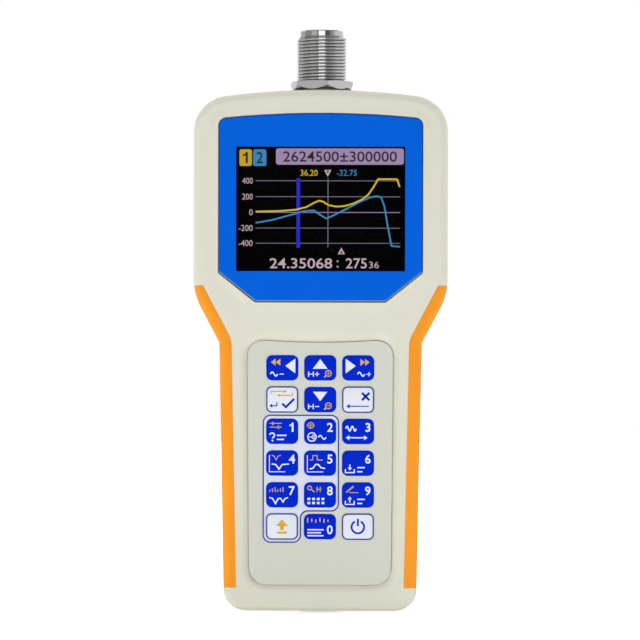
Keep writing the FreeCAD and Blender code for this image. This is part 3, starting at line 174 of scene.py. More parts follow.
def edit(piece):
    """Edit mode with nothing selected."""
    select_only(piece)
    bpy.ops.object.mode_set(mode="EDIT")
    bpy.ops.mesh.select_mode(type="VERT")
    bpy.ops.mesh.select_all(action="DESELECT")


def choose(piece, kind, wanted):
    """Selects the faces or edges, in edit mode, for which wanted says yes."""
    bpy.ops.mesh.select_mode(type=kind)
    bpy.ops.mesh.select_all(action="DESELECT")
    mesh = bmesh.from_edit_mesh(piece.data)
    mesh.normal_update()
    found = 0
    for item in (mesh.faces if kind == "FACE" else mesh.edges):
        if wanted(item):
            item.select_set(True)
            found += 1
    mesh.select_flush_mode()
    bmesh.update_edit_mesh(piece.data)
    if not found:
        raise RuntimeError(f"nothing to select on {piece.name}")


def tidy_mesh(piece, angle=30.0):
    """Merges doubles, turns the faces outward and smooths what is round."""
    edit(piece)
    bpy.ops.mesh.select_all(action="SELECT")
    bpy.ops.mesh.remove_doubles(threshold=MERGE)
    bpy.ops.mesh.normals_make_consistent(inside=False)
    bpy.ops.object.mode_set(mode="OBJECT")
    bpy.ops.object.shade_smooth_by_angle(angle=math.radians(angle))
    return piece


def use_modifier(piece, kind, **settings):
    """Adds a modifier to the piece and applies it."""
    select_only(piece)
    modifier = piece.modifiers.new(kind, kind)
    for name, value in settings.items():
        setattr(modifier, name, value)
    bpy.ops.object.modifier_apply(modifier=modifier.name)
    return piece


def round_edges(piece, width):
    """Rounds the edges that come round out of a mould, and leaves its facets alone."""
    use_modifier(piece, "BEVEL", width=width, segments=2, limit_method="ANGLE",
                 angle_limit=math.radians(32), use_clamp_overlap=True)


def combine(piece, tool, operation):
    """Cuts, joins or keeps what the tool shares with the piece, and removes the tool."""
    use_modifier(piece, "BOOLEAN", object=tool, operation=operation, solver="EXACT")
    bpy.data.objects.remove(tool)
    return piece


def join(pieces):
    """Several objects as one mesh."""
    start_clean()
    for piece in pieces:
        piece.select_set(True)
    bpy.context.view_layer.objects.active = pieces[0]
    if len(pieces) > 1:
        bpy.ops.object.join()
    return pieces[0]


def add_object(name, data):
    """A new object of the scene that holds the data."""
    holder = bpy.data.objects.new(name, data)
    bpy.context.scene.collection.objects.link(holder)
    return holder


def twin_of(source):
    """A copy of an object in the scene, with a mesh of its own."""
    twin = source.copy()
    twin.data = source.data.copy()
    bpy.context.scene.collection.objects.link(twin)
    return twin


def node_copy(node):
    """A merged copy of a CAD node, with its flat faces whole again."""
    twin = twin_of(frame["nodes"][node])
    twin.parent = None
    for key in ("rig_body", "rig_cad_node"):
        del twin[key]
    select_only(twin)
    bpy.ops.mesh.customdata_custom_splitnormals_clear()
    bpy.ops.object.mode_set(mode="EDIT")
    bpy.ops.mesh.select_all(action="SELECT")
    bpy.ops.mesh.remove_doubles(threshold=MERGE)
    bpy.ops.mesh.dissolve_limited(angle_limit=math.radians(0.2))
    bpy.ops.object.mode_set(mode="OBJECT")
    return twin


def finish_piece(piece, name, finish, slot, *nodes, body="analyzer"):
    """Names a finished piece, gives it its finish and body, and hides the nodes it stands for."""
    piece.name = name
    piece.data.name = name
    piece.data.materials.clear()
    piece.data.materials.append(FINISHES[finish])
    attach(piece, body)
    if nodes:
        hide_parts(*nodes)


def add_finish(piece, finish, wanted):
    """Gives the faces for which wanted says yes a finish of their own."""
    piece.data.materials.append(FINISHES[finish])
    for face in piece.data.polygons:
        if wanted(face):
            face.material_index = len(piece.data.materials) - 1


def dress(**finishes):
    """CAD nodes that keep their own shape get a finish each."""
    for node, finish in finishes.items():
        mesh = frame["nodes"][node].data
        mesh.materials.clear()
        mesh.materials.append(FINISHES[finish])


def middle(node):
    """The middle of a CAD node's box at rest, in metres."""
    low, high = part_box(node)
    return (low + high) / 2


# ---- outlines

def rounded(corners, steps=8):
    """Points of an outline whose corners (across, up, radius) are rounded."""
    points = []
    for i, (across, up, radius) in enumerate(corners):
        here = Vector((across, up))
        back = (Vector(corners[i - 1][:2]) - here).normalized()
        on = (Vector(corners[(i + 1) % len(corners)][:2]) - here).normalized()
        if not radius:
            points.append(here)
            continue
        half = back.angle(on) / 2
        first = here + back * (radius / math.tan(half))
        last = here + on * (radius / math.tan(half))
        centre = here + (back + on).normalized() * (radius / math.sin(half))
        start = math.atan2(*(first - centre).yx)
        turn = math.atan2(*(last - centre).yx) - start
        turn = (turn + math.pi) % (2 * math.pi) - math.pi
        for step in range(steps + 1):
            angle = start + turn * step / steps
            points.append(centre + Vector((math.cos(angle), math.sin(angle))) * radius)
    return points


def round_box(left, right, bottom, top, radius):
    """Outline of a rectangle with round corners."""
    return rounded([(right, bottom, radius), (right, top, radius),
                    (left, top, radius), (left, bottom, radius)])


def arc(across, up, radius, start=0, end=360, steps=24):
    """Points of an arc, from start to end degrees."""
    angles = [math.radians(start + (end - start) * i / steps) for i in range(steps + 1)]
    return [(across + radius * math.cos(a), up + radius * math.sin(a)) for a in angles]


def wave(left, right, up, height, turns):
    """Points of a sine wave between two sides."""
    steps = 12 * turns
    return [(left + (right - left) * i / steps,
             up + height / 2 * math.sin(2 * math.pi * turns * i / steps)) for i in range(steps + 1)]


def ribbon(points, width):
    """Outline of a line of even width along some points."""
    points = [Vector(point) for point in points]
    left, right = [], []
    for i, point in enumerate(points):
        before, after = points[max(i - 1, 0)], points[min(i + 1, len(points) - 1)]
        ways = [way.normalized() for way in (point - before, after - point) if way.length > 1e-6]
        way = sum(ways, Vector((0, 0))).normalized()
        # A corner is mitred, to twice the line's half width at most.
        stretch = 1 / max(way.dot(ways[0]), 0.5)
        across = Vector((-way.y, way.x)) * (width / 2 * stretch)
        left.append(point + across)
        right.append(point - across)
    return left + right[::-1]


# ---- pieces from outlines

def outline_mesh(loops, place, **settings):
    """Closed outlines in millimetres as a mesh, stood upright and moved by a matrix."""
    curve = bpy.data.curves.new("outline", "CURVE")
    for name, value in settings.items():
        setattr(curve, name, value)
    for loop in loops:
        spline = curve.splines.new("POLY")
        spline.points.add(len(loop) - 1)
        for point, (across, up) in zip(spline.points, loop):
            point.co = (across, up, 0, 1)
        spline.use_cyclic_u = True
    piece = add_object("outline", curve)
    select_only(piece)
    bpy.ops.object.convert(target="MESH")
    return settle(piece, place @ Matrix.Scale(MM, 4) @ TURN_UPRIGHT)


def sheet(loops, front, thick):
    """A flat sheet that faces the front, from outlines in millimetres; later loops are holes."""
    place = Matrix.Translation((0, (front + thick / 2) * MM, 0))
    flat = outline_mesh(loops, place, dimensions="2D", fill_mode="BOTH", extrude=thick / 2)
    return tidy_mesh(flat)


def lettering(text, across, up, height, front, thick, width=None, align="CENTER", weight=0.012):
    """Digits and signs as a sheet, this high; width squeezes or stretches them."""
    start_clean()
    bpy.ops.object.text_add()
    piece = bpy.context.object
    piece.data.body = text
    piece.data.align_x = align
    # Half a unit to each side, so that the letters are one unit thick before they are scaled.
    piece.data.extrude = 0.5
    piece.data.offset = weight
    piece.data.resolution_u = 3
    bpy.ops.object.convert(target="MESH")
    xs = [vertex.co.x for vertex in piece.data.vertices]
    ys = [vertex.co.y for vertex in piece.data.vertices]
    tall = height / (max(ys) - min(ys))
    wide = width / (max(xs) - min(xs)) if width else tall
    anchor = {"CENTER": (max(xs) + min(xs)) / 2, "RIGHT": max(xs), "LEFT": min(xs)}[align]
    centre = Vector((anchor, (max(ys) + min(ys)) / 2, 0))
    size = Matrix.Diagonal((wide * MM, tall * MM, thick * MM, 1))
    place = Matrix.Translation(Vector((across, front + thick / 2, up)) * MM)
    return tidy_mesh(settle(piece, place @ TURN_UPRIGHT @ size @ Matrix.Translation(-centre)))


def loop_of_points(points):
    """A closed loop of edges in the upright plane through the axis."""
    return outline_mesh([points], Matrix.Identity(4), dimensions="3D")


def turned(points, steps, across=0.0, depth=0.0, angle=30.0):
    """A piece turned about an upright axis, from its half section in millimetres."""
    piece = loop_of_points(points)
    edit(piece)
    bpy.ops.mesh.select_all(action="SELECT")
    bpy.ops.mesh.spin(steps=steps, dupli=False, angle=2 * math.pi, use_auto_merge=True,
                      center=(0, 0, 0), axis=UP)
    bpy.ops.object.mode_set(mode="OBJECT")
    settle(piece, Matrix.Translation((across * MM, depth * MM, 0)))
    return tidy_mesh(piece, angle)


def rounded_block(low, high, corner, edge, way):
    """A block whose edges along one way are rounded, and then the rims of the face on that side."""
    start_clean()
    low, high = Vector(low) * MM, Vector(high) * MM
    bpy.ops.mesh.primitive_cube_add(size=1, location=(low + high) / 2, scale=high - low)
    piece = settle(bpy.context.object)
    edit(piece)
    if corner:
        choose(piece, "EDGE",
               lambda e: abs((e.verts[0].co - e.verts[1].co).normalized().dot(way)) > ALONG)
        bpy.ops.mesh.bevel(offset=corner * MM, segments=6, affect="EDGES")
    if edge:
        choose(piece, "EDGE",
               lambda e: e.is_manifold and max(f.normal.dot(way) for f in e.link_faces) > ALONG)
        bpy.ops.mesh.bevel(offset=edge * MM, segments=2, affect="EDGES")
    bpy.ops.object.mode_set(mode="OBJECT")
    return tidy_mesh(piece)


# ---- finishes

def add_node(tree, kind, settings, inputs):
    """Adds a shader node; an input's value is a number, a colour or another node's output."""
    node = tree.nodes.new(kind)
    for name, value in settings.items():
        setattr(node, name, value)
    for name, value in inputs.items():
        if isinstance(value, bpy.types.NodeSocket):
            tree.links.new(value, node.inputs[name])
        else:
            node.inputs[name].default_value = value
    return node


def new_material(name, **sockets):
    """A material, its node tree and its shader, whose sockets are set by name."""
    material = bpy.data.materials.new(name)
    material.use_nodes = True
    shader = material.node_tree.nodes["Principled BSDF"]
    for socket, value in sockets.items():
        shader.inputs[socket.replace("_", " ")].default_value = value
    return material, material.node_tree, shader


def shade(base, factor):
    """A colour made lighter or darker, with an alpha of one."""
    return [min(c * factor, 1) for c in base] + [1]


def surface(name, base, roughness, mottle, grain, scuff=0.04, stretch=(1, 1, 1), **sockets):
    """A finish with patches, grain and uneven gloss.

    mottle is (size in mm, share of the colour), grain is (size in mm, depth in mm), scuff is how
    far the roughness varies, and stretch draws the patterns out along an axis.
    """
    material, tree, shader = new_material(name, **sockets)
    coords = add_node(tree, "ShaderNodeTexCoord", {}, {}).outputs["Object"]
    placed = add_node(tree, "ShaderNodeMapping", {}, {"Vector": coords, "Scale": stretch})
    patches = add_node(tree, "ShaderNodeTexNoise", {}, {
        "Vector": placed.outputs[0], "Scale": 1 / (mottle[0] * MM), "Detail": 3.0})
    tint = add_node(tree, "ShaderNodeMix", {"data_type": "RGBA"}, {
        0: patches.outputs[0], 6: shade(base, 1 - mottle[1]), 7: shade(base, 1 + mottle[1])})
    tree.links.new(tint.outputs[2], shader.inputs["Base Color"])
    # Most of the noise lies between 0.3 and 0.7.
    gloss = add_node(tree, "ShaderNodeMapRange", {}, {
        0: patches.outputs[0], 1: 0.3, 2: 0.7,
        3: max(roughness - scuff, 0.01), 4: min(roughness + scuff, 1)})
    tree.links.new(gloss.outputs[0], shader.inputs["Roughness"])
    fine = add_node(tree, "ShaderNodeTexNoise", {}, {
        "Vector": placed.outputs[0], "Scale": 1 / (grain[0] * MM), "Detail": 2.0})
    bump = add_node(tree, "ShaderNodeBump", {}, {
        "Height": fine.outputs[0], "Distance": grain[1] * MM, "Strength": 1.0})
    tree.links.new(bump.outputs[0], shader.inputs["Normal"])
    return material


def lit_pixels(name, base):
    """Light of the screen, with the dark lines between its pixels."""
    material, tree, shader = new_material(
        name, Base_Color=(0.004, 0.004, 0.005, 1), Roughness=0.5, Emission_Strength=1.0)
    coords = add_node(tree, "ShaderNodeTexCoord", {}, {}).outputs["Object"]
    stood_up = add_node(tree, "ShaderNodeMapping", {}, {
        "Vector": coords, "Rotation": (math.radians(90), 0, 0)})
    # Pixels are 0.17 mm apart; they are drawn 0.5 mm apart, which is as fine as a view shows.
    grid = add_node(tree, "ShaderNodeTexBrick", {"offset": 0.0, "squash": 1.0}, {
        "Vector": stood_up.outputs[0], "Color1": shade(base, 1), "Color2": shade(base, 0.94),
        "Mortar": shade(base, 0.72), "Scale": 1 / (0.5 * MM), "Mortar Size": 0.12,
        "Mortar Smooth": 0.4, "Brick Width": 1.0, "Row Height": 1.0})
    tree.links.new(grid.outputs["Color"], shader.inputs["Emission Color"])
    return material


def make_finishes(colours):
    """Every finish of the analyzer, made once."""
    FINISHES.update(
        # Injection-moulded ABS with a spark-eroded grain: a soft sheen broken up by fine pits.
        abs=surface("ivory_moulded_abs", colours.housing, 0.46, (30, 0.012), (0.32, 0.012)),
        # Overmoulded thermoplastic elastomer: matt and slightly velvety, with wide soft highlights.
        elastomer=surface("orange_overmoulded_elastomer", colours.grips, 0.62, (14, 0.02),
                          (0.4, 0.02), Specular_IOR_Level=0.25, Sheen_Weight=0.02,
                          Sheen_Roughness=0.5),
        # Screen ink behind a hard-coated acrylic plate: an even deep colour with hardly any glare.
        lens_print=surface("blue_screen_ink_on_acrylic", colours.lens, 0.34, (22, 0.012),
                           (1.1, 0.002), Specular_IOR_Level=0.02),
        # Painted highlight: pale blue on the plate's clear bevelled edge, for the light it gathers.
        clear_edge=surface("bevelled_acrylic_edge_painted_highlight", linear("#8AA6CE"), 0.25, (4, 0.05),
                           (0.5, 0.002)),
        # Cast acrylic with an antireflective coat: clear, very slightly smoked, hardly any gloss.
        acrylic=surface("clear_coated_acrylic", linear("#07080A"), 0.15, (15, 0.1), (8, 0.00002),
                        0.01, Alpha=0.12, Specular_IOR_Level=0.04),
        # Polished glass over a black mask: near black and flat.
        screen_glass=surface("black_masked_screen_glass", linear("#020203"), 0.12, (8, 0.2),
                             (4, 0.00002), 0.03, Specular_IOR_Level=0.0),
        # Embossed polyester film: satin, with the slight orange peel of its ink.
        film=surface("satin_polyester_film", colours.film, 0.42, (24, 0.012), (0.5, 0.006),
                     Specular_IOR_Level=0.35),
        # Screen-printed inks on that film: the pale ones cover well, the blue ones are flattest.
        field_ink=surface("lavender_screen_ink", colours.field, 0.42, (18, 0.01), (0.5, 0.006),
                          Specular_IOR_Level=0.3),
        white_key_ink=surface("white_key_screen_ink", colours.white_keys, 0.42, (9, 0.01),
                              (0.5, 0.006), Specular_IOR_Level=0.3),
        blue_ink=surface("blue_screen_ink", colours.blue_ink, 0.36, (6, 0.04), (0.5, 0.005),
                         Specular_IOR_Level=0.02),
        line_ink=surface("dark_blue_screen_ink", linear("#2B3592"), 0.4, (4, 0.03), (0.5, 0.004),
                         Specular_IOR_Level=0.2),
        gold_ink=surface("gold_screen_ink", colours.gold_ink, 0.45, (3, 0.05), (0.4, 0.004)),
        white_ink=surface("opaque_white_screen_ink", colours.white_ink, 0.45, (3, 0.02),
                          (0.4, 0.004)),
        # Nickel plate on turned brass: a clear grey mirror with fine lines round the axis.
        nickel=surface("bright_nickel_plate", linear("#DADADA"), 0.13, (2.5, 0.03), (0.3, 0.0003),
                       0.03, stretch=(0.1, 0.1, 1), Metallic=1.0),
        # Milled hexagon under the same plate: flatter faces with short mill marks.
        milled_nickel=surface("milled_nickel_plate", linear("#DCD9DA"), 0.2, (2, 0.04),
                              (0.3, 0.0005), 0.05, Metallic=1.0),
        # Sintered fluoroplastic: waxy white.
        fluoroplastic=surface("white_fluoroplastic", linear("#F1EFE8"), 0.38, (4, 0.02),
                              (0.5, 0.004), Subsurface_Weight=0.1, Subsurface_Scale=0.001),
        # Hard gold over nickel on a turned contact, and bare copper alloy: warm soft mirrors.
        gold=surface("gold_plated_brass", linear("#E3BE6B"), 0.22, (1.5, 0.06), (0.15, 0.003),
                     stretch=(0.2, 0.2, 1), Metallic=1.0),
        copper=surface("bare_copper_alloy", linear("#C98A5E"), 0.3, (2, 0.08), (0.3, 0.004),
                       Metallic=1.0),
        # Cold-rolled steel with tin, zinc or nothing on it: brushed grey metals.
        tinned=surface("tinned_sheet_steel", linear("#C6C6C2"), 0.3, (3, 0.05), (0.3, 0.004), 0.08,
                       stretch=(1, 1, 0.15), Metallic=1.0),
        zinc=surface("zinc_plated_steel", linear("#B9BCC0"), 0.33, (1.2, 0.08), (0.25, 0.006), 0.08,
                     Metallic=1.0),
        spring=surface("rolled_spring_steel", linear("#BDBDBB"), 0.28, (2, 0.05), (0.3, 0.003),
                       0.06, stretch=(0.2, 1, 1), Metallic=1.0),
        # Glass-filled black plastic: dull, with pale flecks.
        black_plastic=surface("black_moulded_polyester", linear("#1B1B1C"), 0.5, (0.8, 0.25),
                              (0.3, 0.008)),
        # Closed-cell foam with glue on both faces: dead black and rough.
        foam=surface("black_foam_tape", linear("#17171A"), 0.85, (0.6, 0.3), (0.25, 0.03)),
        # Moulded clear acrylic on white foil: an even, milky white.
        light_guide=surface("white_light_guide", linear("#EDEEF2"), 0.35, (1.0, 0.02), (0.6, 0.01)),
        # Solder mask on fibreglass: glossy green with the weave just showing.
        board=surface("green_solder_mask", linear("#1D5B36"), 0.28, (1.3, 0.18), (0.45, 0.01)),
        # Hardened steel in a dull, dark brownish grey.
        oxidised=surface("oxidised_steel", linear("#77746C"), 0.55, (0.6, 0.1), (0.2, 0.006),
                         Metallic=1.0))


# ---- housing and grips

def draft_foot(piece):
    """Lets the foot rise a little towards the front, so that the shell leaves its mould."""
    rise, reach, front = 0.9 * MM, 6 * MM, CAD_BOX[0][1]
    for vertex in piece.data.vertices:
        if vertex.co.z < reach:
            vertex.co.z += rise * max(vertex.co.y / front, 0) * (1 - vertex.co.z / reach)


def round_recess(piece):
    """Swells the slopes of the keypad's recess, so that they are steep at the film and fade out."""
    floor, deep, above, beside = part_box("keypad_overlay")[1].y, 0.9 * MM, 95 * MM, 26.5 * MM
    # Share of the depth on the straight slope, and what it becomes.
    swell = [(0.0, 0.0), (0.25, 0.42), (0.5, 0.72), (0.75, 0.92), (1.0, 1.0)]

    def slopes(face):
        depths = [vertex.co.y for vertex in face.verts]
        return (-ALONG < face.normal.y < -0.9 and face.verts[0].co.z < above
                and min(depths) > floor - deep - 1e-6 and max(depths) < floor + 1e-6)

    edit(piece)
    for share, _ in swell[1:-1]:
        choose(piece, "FACE", slopes)
        bpy.ops.mesh.bisect(plane_co=(0, floor - share * deep, 0), plane_no=(0, 1, 0),
                            threshold=1e-6)
    bpy.ops.object.mode_set(mode="OBJECT")
    for vertex in piece.data.vertices:
        share = (floor - vertex.co.y) / deep
        if vertex.co.z > above or abs(vertex.co.x) > beside or not 0 < share < 1:
            continue
        for (low, low_lift), (high, high_lift) in zip(swell, swell[1:]):
            if share <= high:
                lift = low_lift + (high_lift - low_lift) * (share - low) / (high - low)
                vertex.co.y = floor - lift * deep
                break


def scaled_lens(scale, shift):
    """A copy of the lens's solid, scaled about its middle and moved by some millimetres."""
    place = Matrix.Translation(middle("display_lens"))
    grown = place @ Matrix.Diagonal((*scale, 1)) @ place.inverted()
    return settle(node_copy("display_lens"), Matrix.Translation(Vector(shift) * MM) @ grown)


def lens_channel():
    """Ring round the lens's edge, deeper than its tape and a little wider below."""
    outer = scaled_lens((1.004, 2.5, 1.0043), (0, -0.18, -0.22))
    return combine(outer, scaled_lens((0.989, 4, 0.988), (0, -0.18, 0)), "DIFFERENCE")


def film_groove():
    """Narrow ring round the keypad film, from just above the floor of its seat to 0.7 mm below."""
    wide, above, deep = 0.24, 0.1, 0.7
    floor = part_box("keypad_overlay")[1].y / MM
    return sheet([film_loop(wide), film_loop(0.0)], floor - above, above + deep)


def build_housing(sizes):
    """Both shells and the battery cover's door, with their moulded edges rounded."""
    for node, name, body in (
            ("front_shell", "front_housing", "analyzer"),
            ("rear_shell", "rear_housing", "analyzer"),
            ("battery_cover", "battery_door", "battery_cover")):
        piece = node_copy(node)
        round_edges(piece, sizes.edge)
        if node == "front_shell":
            round_recess(piece)
            # The lens and the film sit in channels, which frame them with a fine dark line.
            combine(piece, lens_channel(), "DIFFERENCE")
            combine(piece, film_groove(), "DIFFERENCE")
            draft_foot(piece)
        tidy_mesh(piece, 34)
        use_modifier(piece, "WEIGHTED_NORMAL", keep_sharp=True)
        finish_piece(piece, name, "abs", "ivory_plastic", node, body=body)


def build_grips(sizes):
    """The two soft strips in the sides."""
    for side in ("left", "right"):
        piece = node_copy(side + "_grip")
        round_edges(piece, sizes.edge)
        tidy_mesh(piece, 34)
        finish_piece(piece, side + "_soft_grip", "elastomer", "grip_rubber", side + "_grip")


# ---- display

# The clear window in the lens, in millimetres: its size and how high its middle is.
WINDOW_WIDTH, WINDOW_HEIGHT, WINDOW_UP = 53.9, 39.7, 128.9


def build_lens():
    """The printed plate, and the clear window that is left in the print."""
    low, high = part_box("display_lens")
    half, tall, corner = WINDOW_WIDTH / 2, WINDOW_HEIGHT / 2, 0.3
    back, front = high.y / MM, low.y / MM

    def window_block(spare, edge):
        return rounded_block((-half, front - spare, WINDOW_UP - tall),
                             (half, back + spare, WINDOW_UP + tall), corner, edge, FRONT)

    # The plate is 0.1 mm smaller on each side than its solid.
    plate = scaled_lens((0.9972, 1, 0.9968), (0, 0, 0))
    combine(plate, window_block(1, 0), "DIFFERENCE")
    tidy_mesh(plate, 20)
    finish_piece(plate, "lens_plate", "lens_print", "blue_lens", "display_lens")
    # Only the bevel of the plate's lower edges, facing down and forward, gets the painted
    # highlight.
    add_finish(plate, "clear_edge",
               lambda face: face.normal.z < -0.3 and -0.95 < face.normal.y < -0.3)
    finish_piece(window_block(0, 0.04), "lens_window", "acrylic", "screen_glass")


# What the screen draws with: the finish's name and its colour.
PAPER = {
    "yellow": ("lit_yellow_pixels", "#DCB51C"), "cyan": ("lit_blue_pixels", "#3495CE"),
    "pale": ("lit_lavender_pixels", "#B49AC6"), "text": ("lit_pale_pixels", "#D9C0CB"),
    "grid": ("lit_grey_pixels", "#80768C"), "axis": ("lit_violet_pixels", "#A58EC4"),
    "bar": ("lit_deep_blue_pixels", "#1602DC"), "curve": ("lit_bright_yellow_pixels", "#F0D024"),
    "dark": ("dark_pixels", "#191320"),
}
# All places on the screen are in millimetres from the middle of the lens's window.
YELLOW_CURVE = [
    (-20.8, -0.8), (-13, -0.6), (-8, -0.2), (-4.5, 0.7), (-2.2, 2.0), (-0.6, 2.7), (0.8, 2.4),
    (2.4, 1.3), (5.0, 0.8), (7.6, 1.0), (10.4, 1.8), (13.0, 3.0), (15.2, 4.7), (16.9, 7.2),
    (18.3, 9.6), (24.3, 9.6), (25.2, 7.1)]
CYAN_CURVE = [
    (-20.8, -4.4), (-15.6, -3.5), (-9.4, -1.8), (-5.2, -0.6), (-2.2, -0.4), (0.1, -2.0),
    (1.8, -3.0), (4.2, -1.9), (8.2, 0.1), (12.4, 2.3), (15.8, 3.8), (18.0, 4.2), (19.3, 3.7),
    (20.3, 1.0), (21.3, -4.9), (22.6, -11.7), (25.3, -12.0)]
SCALE_LINES = [(9.05, "400"), (3.97, "200"), (-1.04, "0"), (-6.05, "-200"), (-10.9, "-400")]
SCALE_LEFT, SCALE_RIGHT, SCALE_TOP = -20.8, 25.3, 9.9


def build_screen():
    """What the lit screen shows: two curves over a grid, with plain numbers."""
    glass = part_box("lcd_glass")[0].y / MM
    thin = 0.02
    drawn = {key: [] for key in PAPER}

    def area(key, loop, lift=0.0):
        points = [(across, WINDOW_UP + up) for across, up in loop]
        drawn[key].append(sheet([points], glass - lift - thin, thin))

    def numbers(key, text, across, up, height, width=None, align="CENTER", lift=0.0):
        drawn[key].append(lettering(text, across, WINDOW_UP + up, height, glass - lift - thin, thin,
                                    width, align, weight=0.01 if height > 2.5 else 0.0))

    area("yellow", round_box(-26.05, -22.05, 13.75, 19.1, 0.7))
    area("cyan", round_box(-21.7, -17.4, 13.75, 19.1, 0.7))
    area("pale", round_box(-14.35, 26.5, 14.2, 19.4, 0.8))
    area("dark", [(-23.85 + 1.24 * across, 16.45 + 1.24 * up) for across, up in ONE], thin)
    numbers("dark", "2", -19.55, 16.45, 3.6, 2.1, lift=thin)
    numbers("dark", "2624500±300000", 6.1, 16.8, 3.4, 36.4, lift=thin)
    numbers("curve", "36.20", -3.75, 11.6, 1.95, 5.5)
    numbers("cyan", "-32.75", 8.3, 11.6, 1.95, 6.4)
    for up, text in SCALE_LINES:
        area("axis" if text == "0" else "grid", ribbon([(SCALE_LEFT, up), (SCALE_RIGHT, up)], 0.24))
        numbers("text", text, SCALE_LEFT - 0.95, up, 1.95, 1.12 * len(text), "RIGHT")
    area("bar", ribbon([(-7.2, SCALE_TOP), (-7.2, -12.4)], 1.15), thin / 2)
    area("grid", ribbon([(2.3, SCALE_TOP), (2.3, -12.2)], 0.26), thin / 3)
    # Two hollow pointers, each a pale triangle with a dark one on it.
    for across, up, tip in ((2.2, 12.5, -1), (6.6, -14.4, 1)):
        for key, wide, lift in (("text", 1.15, 0.0), ("dark", 0.5, thin)):
            rise = 0.35 * (1.15 - wide)
            area(key, [(across - wide, up + tip * rise), (across + wide, up + tip * rise),
                       (across, up + tip * (1.85 * wide + rise))], lift)
    area("curve", ribbon(YELLOW_CURVE, 0.5), thin)
    area("cyan", ribbon(CYAN_CURVE, 0.5), thin)
    numbers("text", "24.35068", -6.3, -17.3, 3.3, 20.0)
    numbers("text", ":", 5.4, -17.5, 2.3)
    numbers("text", "275", 11.4, -17.3, 3.3, 6.7)
    numbers("text", "36", 17.0, -17.8, 2.1, 3.2)
    for key, pieces in drawn.items():
        name, tone = PAPER[key]
        FINISHES[name] = lit_pixels(name, linear(tone))
        finish_piece(join(pieces), f"screen_{key}_marks", name, "screen_glass")
    dress(lcd_glass="screen_glass", lcd_backlight="light_guide", lcd_frame="black_plastic",
          lens_tape="foam")


# ---- keypad

# Outline of the printed field round the main keys and the radius of its corners, in millimetres.
FIELD = [(-18.1, 22.65), (-6.2, 22.65), (-6.2, 32.65), (5.85, 32.65), (5.85, 63.1), (-18.1, 63.1)]
FIELD_CORNER = 2.3


def key_half(name, sizes):
    """Half the width and height of a key, in millimetres."""
    low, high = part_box("key_" + name)
    wider, taller = (sizes.white_wider, sizes.white_taller) if name in WHITE_KEYS else (0.0, 0.0)
    return ((high.x - low.x) / 2 + wider) / MM, ((high.z - low.z) / 2 + taller) / MM


def key_loop(name, sizes, grow):
    """Outline of a key, grown all round."""
    spot = middle("key_" + name) / MM
    across, up = key_half(name, sizes)
    return round_box(spot.x - across - grow, spot.x + across + grow,
                     spot.z - up - grow, spot.z + up + grow, sizes.key_corner / MM + grow)


def field_loop(grow):
    """Outline of the field round the main keys, grown all round."""
    corners = []
    for i, (across, up) in enumerate(FIELD):
        before, after = FIELD[i - 1], FIELD[(i + 1) % len(FIELD)]
        back = Vector((across - before[0], up - before[1])).normalized()
        on = Vector((after[0] - across, after[1] - up)).normalized()
        shift = (Vector((back.y, -back.x)) + Vector((on.y, -on.x))) * grow
        inward = back.x * on.y - back.y * on.x < 0
        corner = FIELD_CORNER - grow if inward else FIELD_CORNER + grow
        corners.append((across + shift.x, up + shift.y, corner))
    return rounded(corners)


def film_loop(grow):
    """Outline of the keypad film, with its dipped upper edge, grown all round."""
    low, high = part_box("keypad_overlay")
    wide, foot, corner = high.x / MM + grow, 22.6 + grow, 5.6 + grow
    # The edge dips by this much in the middle, and where its corners start by a share of it.
    dip, share, steps = 1.1, 0.44, 12
    bottom, top, reach = low.z / MM - grow, high.z / MM + dip * share + grow, wide - corner
    edge = [(reach - 2 * reach * i / steps, top, 0) for i in range(1, steps)]
    points = rounded([(foot, bottom, corner), (wide, top, corner), *edge,
                      (-wide, top, corner), (-foot, bottom, corner)])
    bent = []
    for across, up in points:
        lift = max(0.0, min(1.0, (up - (top - corner)) / corner))
        bent.append((across, up - dip * lift * (1 - (across / wide) ** 2)))
    return bent


def build_film(sizes):
    """The keypad film with a window for each key, and what is printed on it."""
    low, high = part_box("keypad_overlay")
    front, thick = low.y / MM, (high.y - low.y) / MM
    gap, ink = sizes.key_gap / MM, sizes.ink / MM
    windows = {name: key_loop(name, sizes, gap) for name in KEYS}
    film = sheet([film_loop(0.0), *windows.values()], front, thick)
    finish_piece(film, "keypad_film", "film", "keypad_film", "keypad_overlay")
    half_line = sizes.line / 2 / MM
    cut_out = [windows[name] for name in FIELD_KEYS]
    field = sheet([field_loop(-half_line), *cut_out], front - ink, ink)
    finish_piece(field, "key_field_print", "field_ink", "white_key")
    outline = sheet([field_loop(half_line), field_loop(-half_line)], front - ink, ink)
    finish_piece(outline, "blue_line_print", "line_ink", "blue_key")


